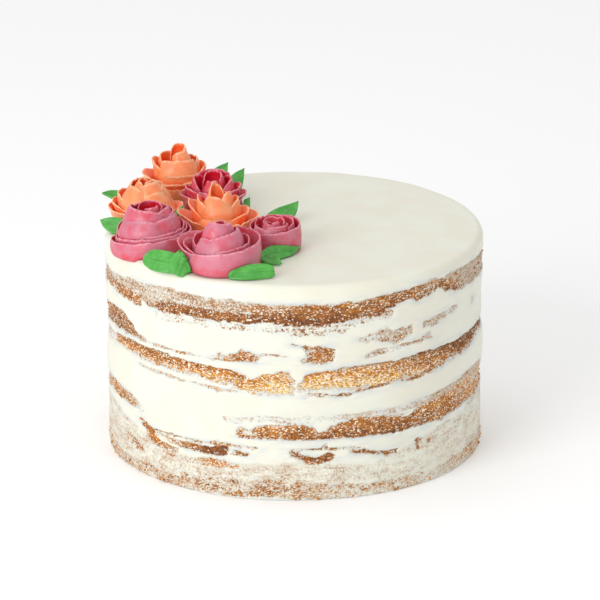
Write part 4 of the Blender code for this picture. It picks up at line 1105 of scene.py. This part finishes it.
def petal_finish(name, deep, body, lip_light):
    """Piped buttercream with fine nozzle lines, its thin lips paler by painted light and its hidden parts
    deeper by painted shade.
    """
    made = Finish(name, Subsurface_Weight=0.3, Subsurface_Scale=0.004, Specular_IOR_Level=0.65,
                  Subsurface_Radius=(1.0, 0.25, 0.25), Roughness=0.38)
    lip, along, rise, deeper_and_shade = (made.attribute(key) for key in ("lip", "along", "rise", "deeper_and_shade"))
    place = made.add("ShaderNodeCombineXYZ", {0: made.maths("MULTIPLY", along, 0.12), 1: rise})
    lines = made.add("ShaderNodeTexNoise", {"Vector": place, "Scale": 1.6, "Detail": 2.0})
    tint = made.blend((lines, 0.3), (made.noise(6.0), 0.7))
    # Painted shade: the colour deepens towards a petal's foot, down among the other petals.
    low = made.ramped(lip, 0.1, 0.7, -0.2, 0.1)
    tint = made.blend((made.ramped(tint, 0.38, 0.62), 0.5), (deeper_and_shade, -0.6), (low, 1.0), (1.0, 0.5))
    tint = made.maths("MAXIMUM", tint, 0.0)
    # Painted light on the thin lip, where it catches light and lets it through, broken up by noise.
    lip_light_breakup = made.ramped(made.noise(1.6), 0.35, 0.6, 0.1, 1.0)
    thin = made.maths("MULTIPLY", made.ramped(lip, 0.92, 1.0), lip_light_breakup)
    made.colour(made.laid(deep, (tint, body), (thin, lip_light)))
    pits = made.ramped(made.noise(1.1, detail=1.0), 0.62, 0.69, 1.0, 0.0)
    made.bump(made.blend((lines, 0.35), (pits, 0.2), (made.noise(2.6), 0.3)), 0.22)
    return made.material


def leaf_finish(name):
    """Green buttercream, darker along its midrib groove by painted shade."""
    made = Finish(name, Subsurface_Weight=0.2, Subsurface_Scale=0.002, Specular_IOR_Level=0.6,
                  Subsurface_Radius=(0.4, 1.0, 0.3), Roughness=0.42)
    rib, along = made.attribute("rib"), made.attribute("along")
    along, across = made.maths("MULTIPLY", along, 0.9), made.maths("MULTIPLY", rib, 5.0)
    place = made.add("ShaderNodeCombineXYZ", {0: along, 1: across})
    lines = made.add("ShaderNodeTexNoise", {"Vector": place, "Scale": 1.0, "Detail": 1.0})
    tint = made.blend((lines, 0.35), (made.noise(5.0), 0.65))
    # Painted shade along the midrib's groove
    midrib_shade = made.ramped(rib, 0.0, 0.09, 0.3, 0.0)
    made.colour(made.laid(LEAF_DEEP, (made.ramped(tint, 0.35, 0.65), LEAF_BODY), (midrib_shade, LEAF_MIDRIB_SHADE)))
    made.bump(made.blend((lines, 0.3), (made.noise(2.0), 0.3), (made.ramped(rib, 0.0, 0.12), 0.4)), 0.3)
    return made.material


# The setting

CAMERA_DISTANCE = 3.5  # metres
CAMERA_ELEVATION = 18.8
CAMERA_LENS = 364.2
CAMERA_SENSOR = 36.0
CAMERA_END = 20.0  # metres
AIM_RIGHT = 3.06  # how far the camera aims beside the cake's middle
AIM_UP = 18.1
FLOOR_SIZE = 12.0  # metres
FLOOR_DROP = 0.3
FLOOR_SHADES = [(0.965, 0.965, 0.965, 1.0), (0.975, 0.975, 0.975, 1.0)]
SKY_STRENGTH = 0.76

# name, place and size in metres, and power in watts
LAMPS = [("key", (-0.9, -1.25, 0.75), 0.9, 13.0), ("top", (-0.2, 0.3, 1.6), 1.2, 2.6)]


def setting():
    bpy.ops.mesh.primitive_plane_add(size=FLOOR_SIZE, location=(0.0, 0.0, -FLOOR_DROP * MM))
    floor = bpy.context.object
    floor.name = "floor"
    made = Finish("floor", Roughness=0.9, Specular_IOR_Level=0.1, Emission_Strength=0.06)
    made.colour(made.mix(made.noise(160.0), *FLOOR_SHADES))
    floor.data.materials.append(made.material)

    world = bpy.data.worlds.new("studio")
    world.use_nodes = True
    sky = world.node_tree.nodes["Background"]
    sky.inputs["Color"].default_value = (1.0, 1.0, 1.0, 1.0)
    sky.inputs["Strength"].default_value = SKY_STRENGTH
    bpy.context.scene.world = world

    for values in LAMPS:
        lamp(*values)

    tilt = math.radians(CAMERA_ELEVATION)
    up = np.array([0.0, math.sin(tilt), math.cos(tilt)])
    back = np.array([0.0, -math.cos(tilt), math.sin(tilt)])
    aim = np.array([AIM_RIGHT, 0.0, 0.5 * CAKE_TOP]) * MM + AIM_UP * MM * up
    camera = bpy.data.objects.new("camera", bpy.data.cameras.new("camera"))
    camera.location = aim + CAMERA_DISTANCE * back
    camera.rotation_euler = (0.5 * math.pi - tilt, 0.0, 0.0)
    camera.data.lens = CAMERA_LENS
    camera.data.sensor_width = CAMERA_SENSOR
    camera.data.clip_end = CAMERA_END
    bpy.context.scene.collection.objects.link(camera)
    bpy.context.scene.camera = camera
    bpy.context.scene.view_settings.view_transform = "Standard"


def lamp(name, place, size, power):
    """A square soft light that shines at the cake."""
    light = bpy.data.lights.new(name, "AREA")
    light.shape = "SQUARE"
    light.size = size
    light.energy = power
    made = bpy.data.objects.new(name, light)
    made.location = place
    aim = made.location.copy()
    aim.z -= 0.5 * CAKE_TOP * MM
    made.rotation_euler = aim.to_track_quat("Z", "Y").to_euler()
    bpy.context.scene.collection.objects.link(made)


def cake():
    cream, crumb = cake_finish("cream_over_crumb"), cake_finish("crumb_under_cream")
    layers = [
        ("lower", 0.0, LOWER_SPONGE_TOP, "sponge_bottom", "coat_lower"),
        ("middle", LOWER_FILLING_TOP, MIDDLE_SPONGE_TOP, "sponge_middle", "coat_middle"),
        ("upper", UPPER_FILLING_TOP, UPPER_SPONGE_TOP, "sponge_top", "coat_upper"),
    ]
    for name, low, high, sponge, coat in layers:
        disc(f"crumb_{name}", low, high, sponge_radius, sponge, crumb, "sponge")
        disc(f"skin_{name}", low, high, cream_radius, coat, cream, "cream", inner=CAKE_RADIUS - SKIN_DEPTH)
    disc("cream_lower", LOWER_SPONGE_TOP, LOWER_FILLING_TOP, cream_radius, "filling_lower", cream, "cream")
    disc("cream_upper", MIDDLE_SPONGE_TOP, UPPER_FILLING_TOP, cream_radius, "filling_upper", cream, "cream")
    rim_foot = CAKE_TOP - RIM_ROUNDING
    disc("cap", UPPER_SPONGE_TOP, rim_foot, cream_radius, "cream_top", cream, "cream", over=over_the_top)
    crumbs(crumb)


def flowers():
    finishes = {"pink": petal_finish("pink_cream", *PINK), "orange": petal_finish("orange_cream", *ORANGE)}
    for name in ROSES:
        rose(name, finishes[ROSES[name][2]])
    green = leaf_finish("green_cream")
    for name in LEAVES:
        leaf(name, green)


cake()
flowers()
setting()
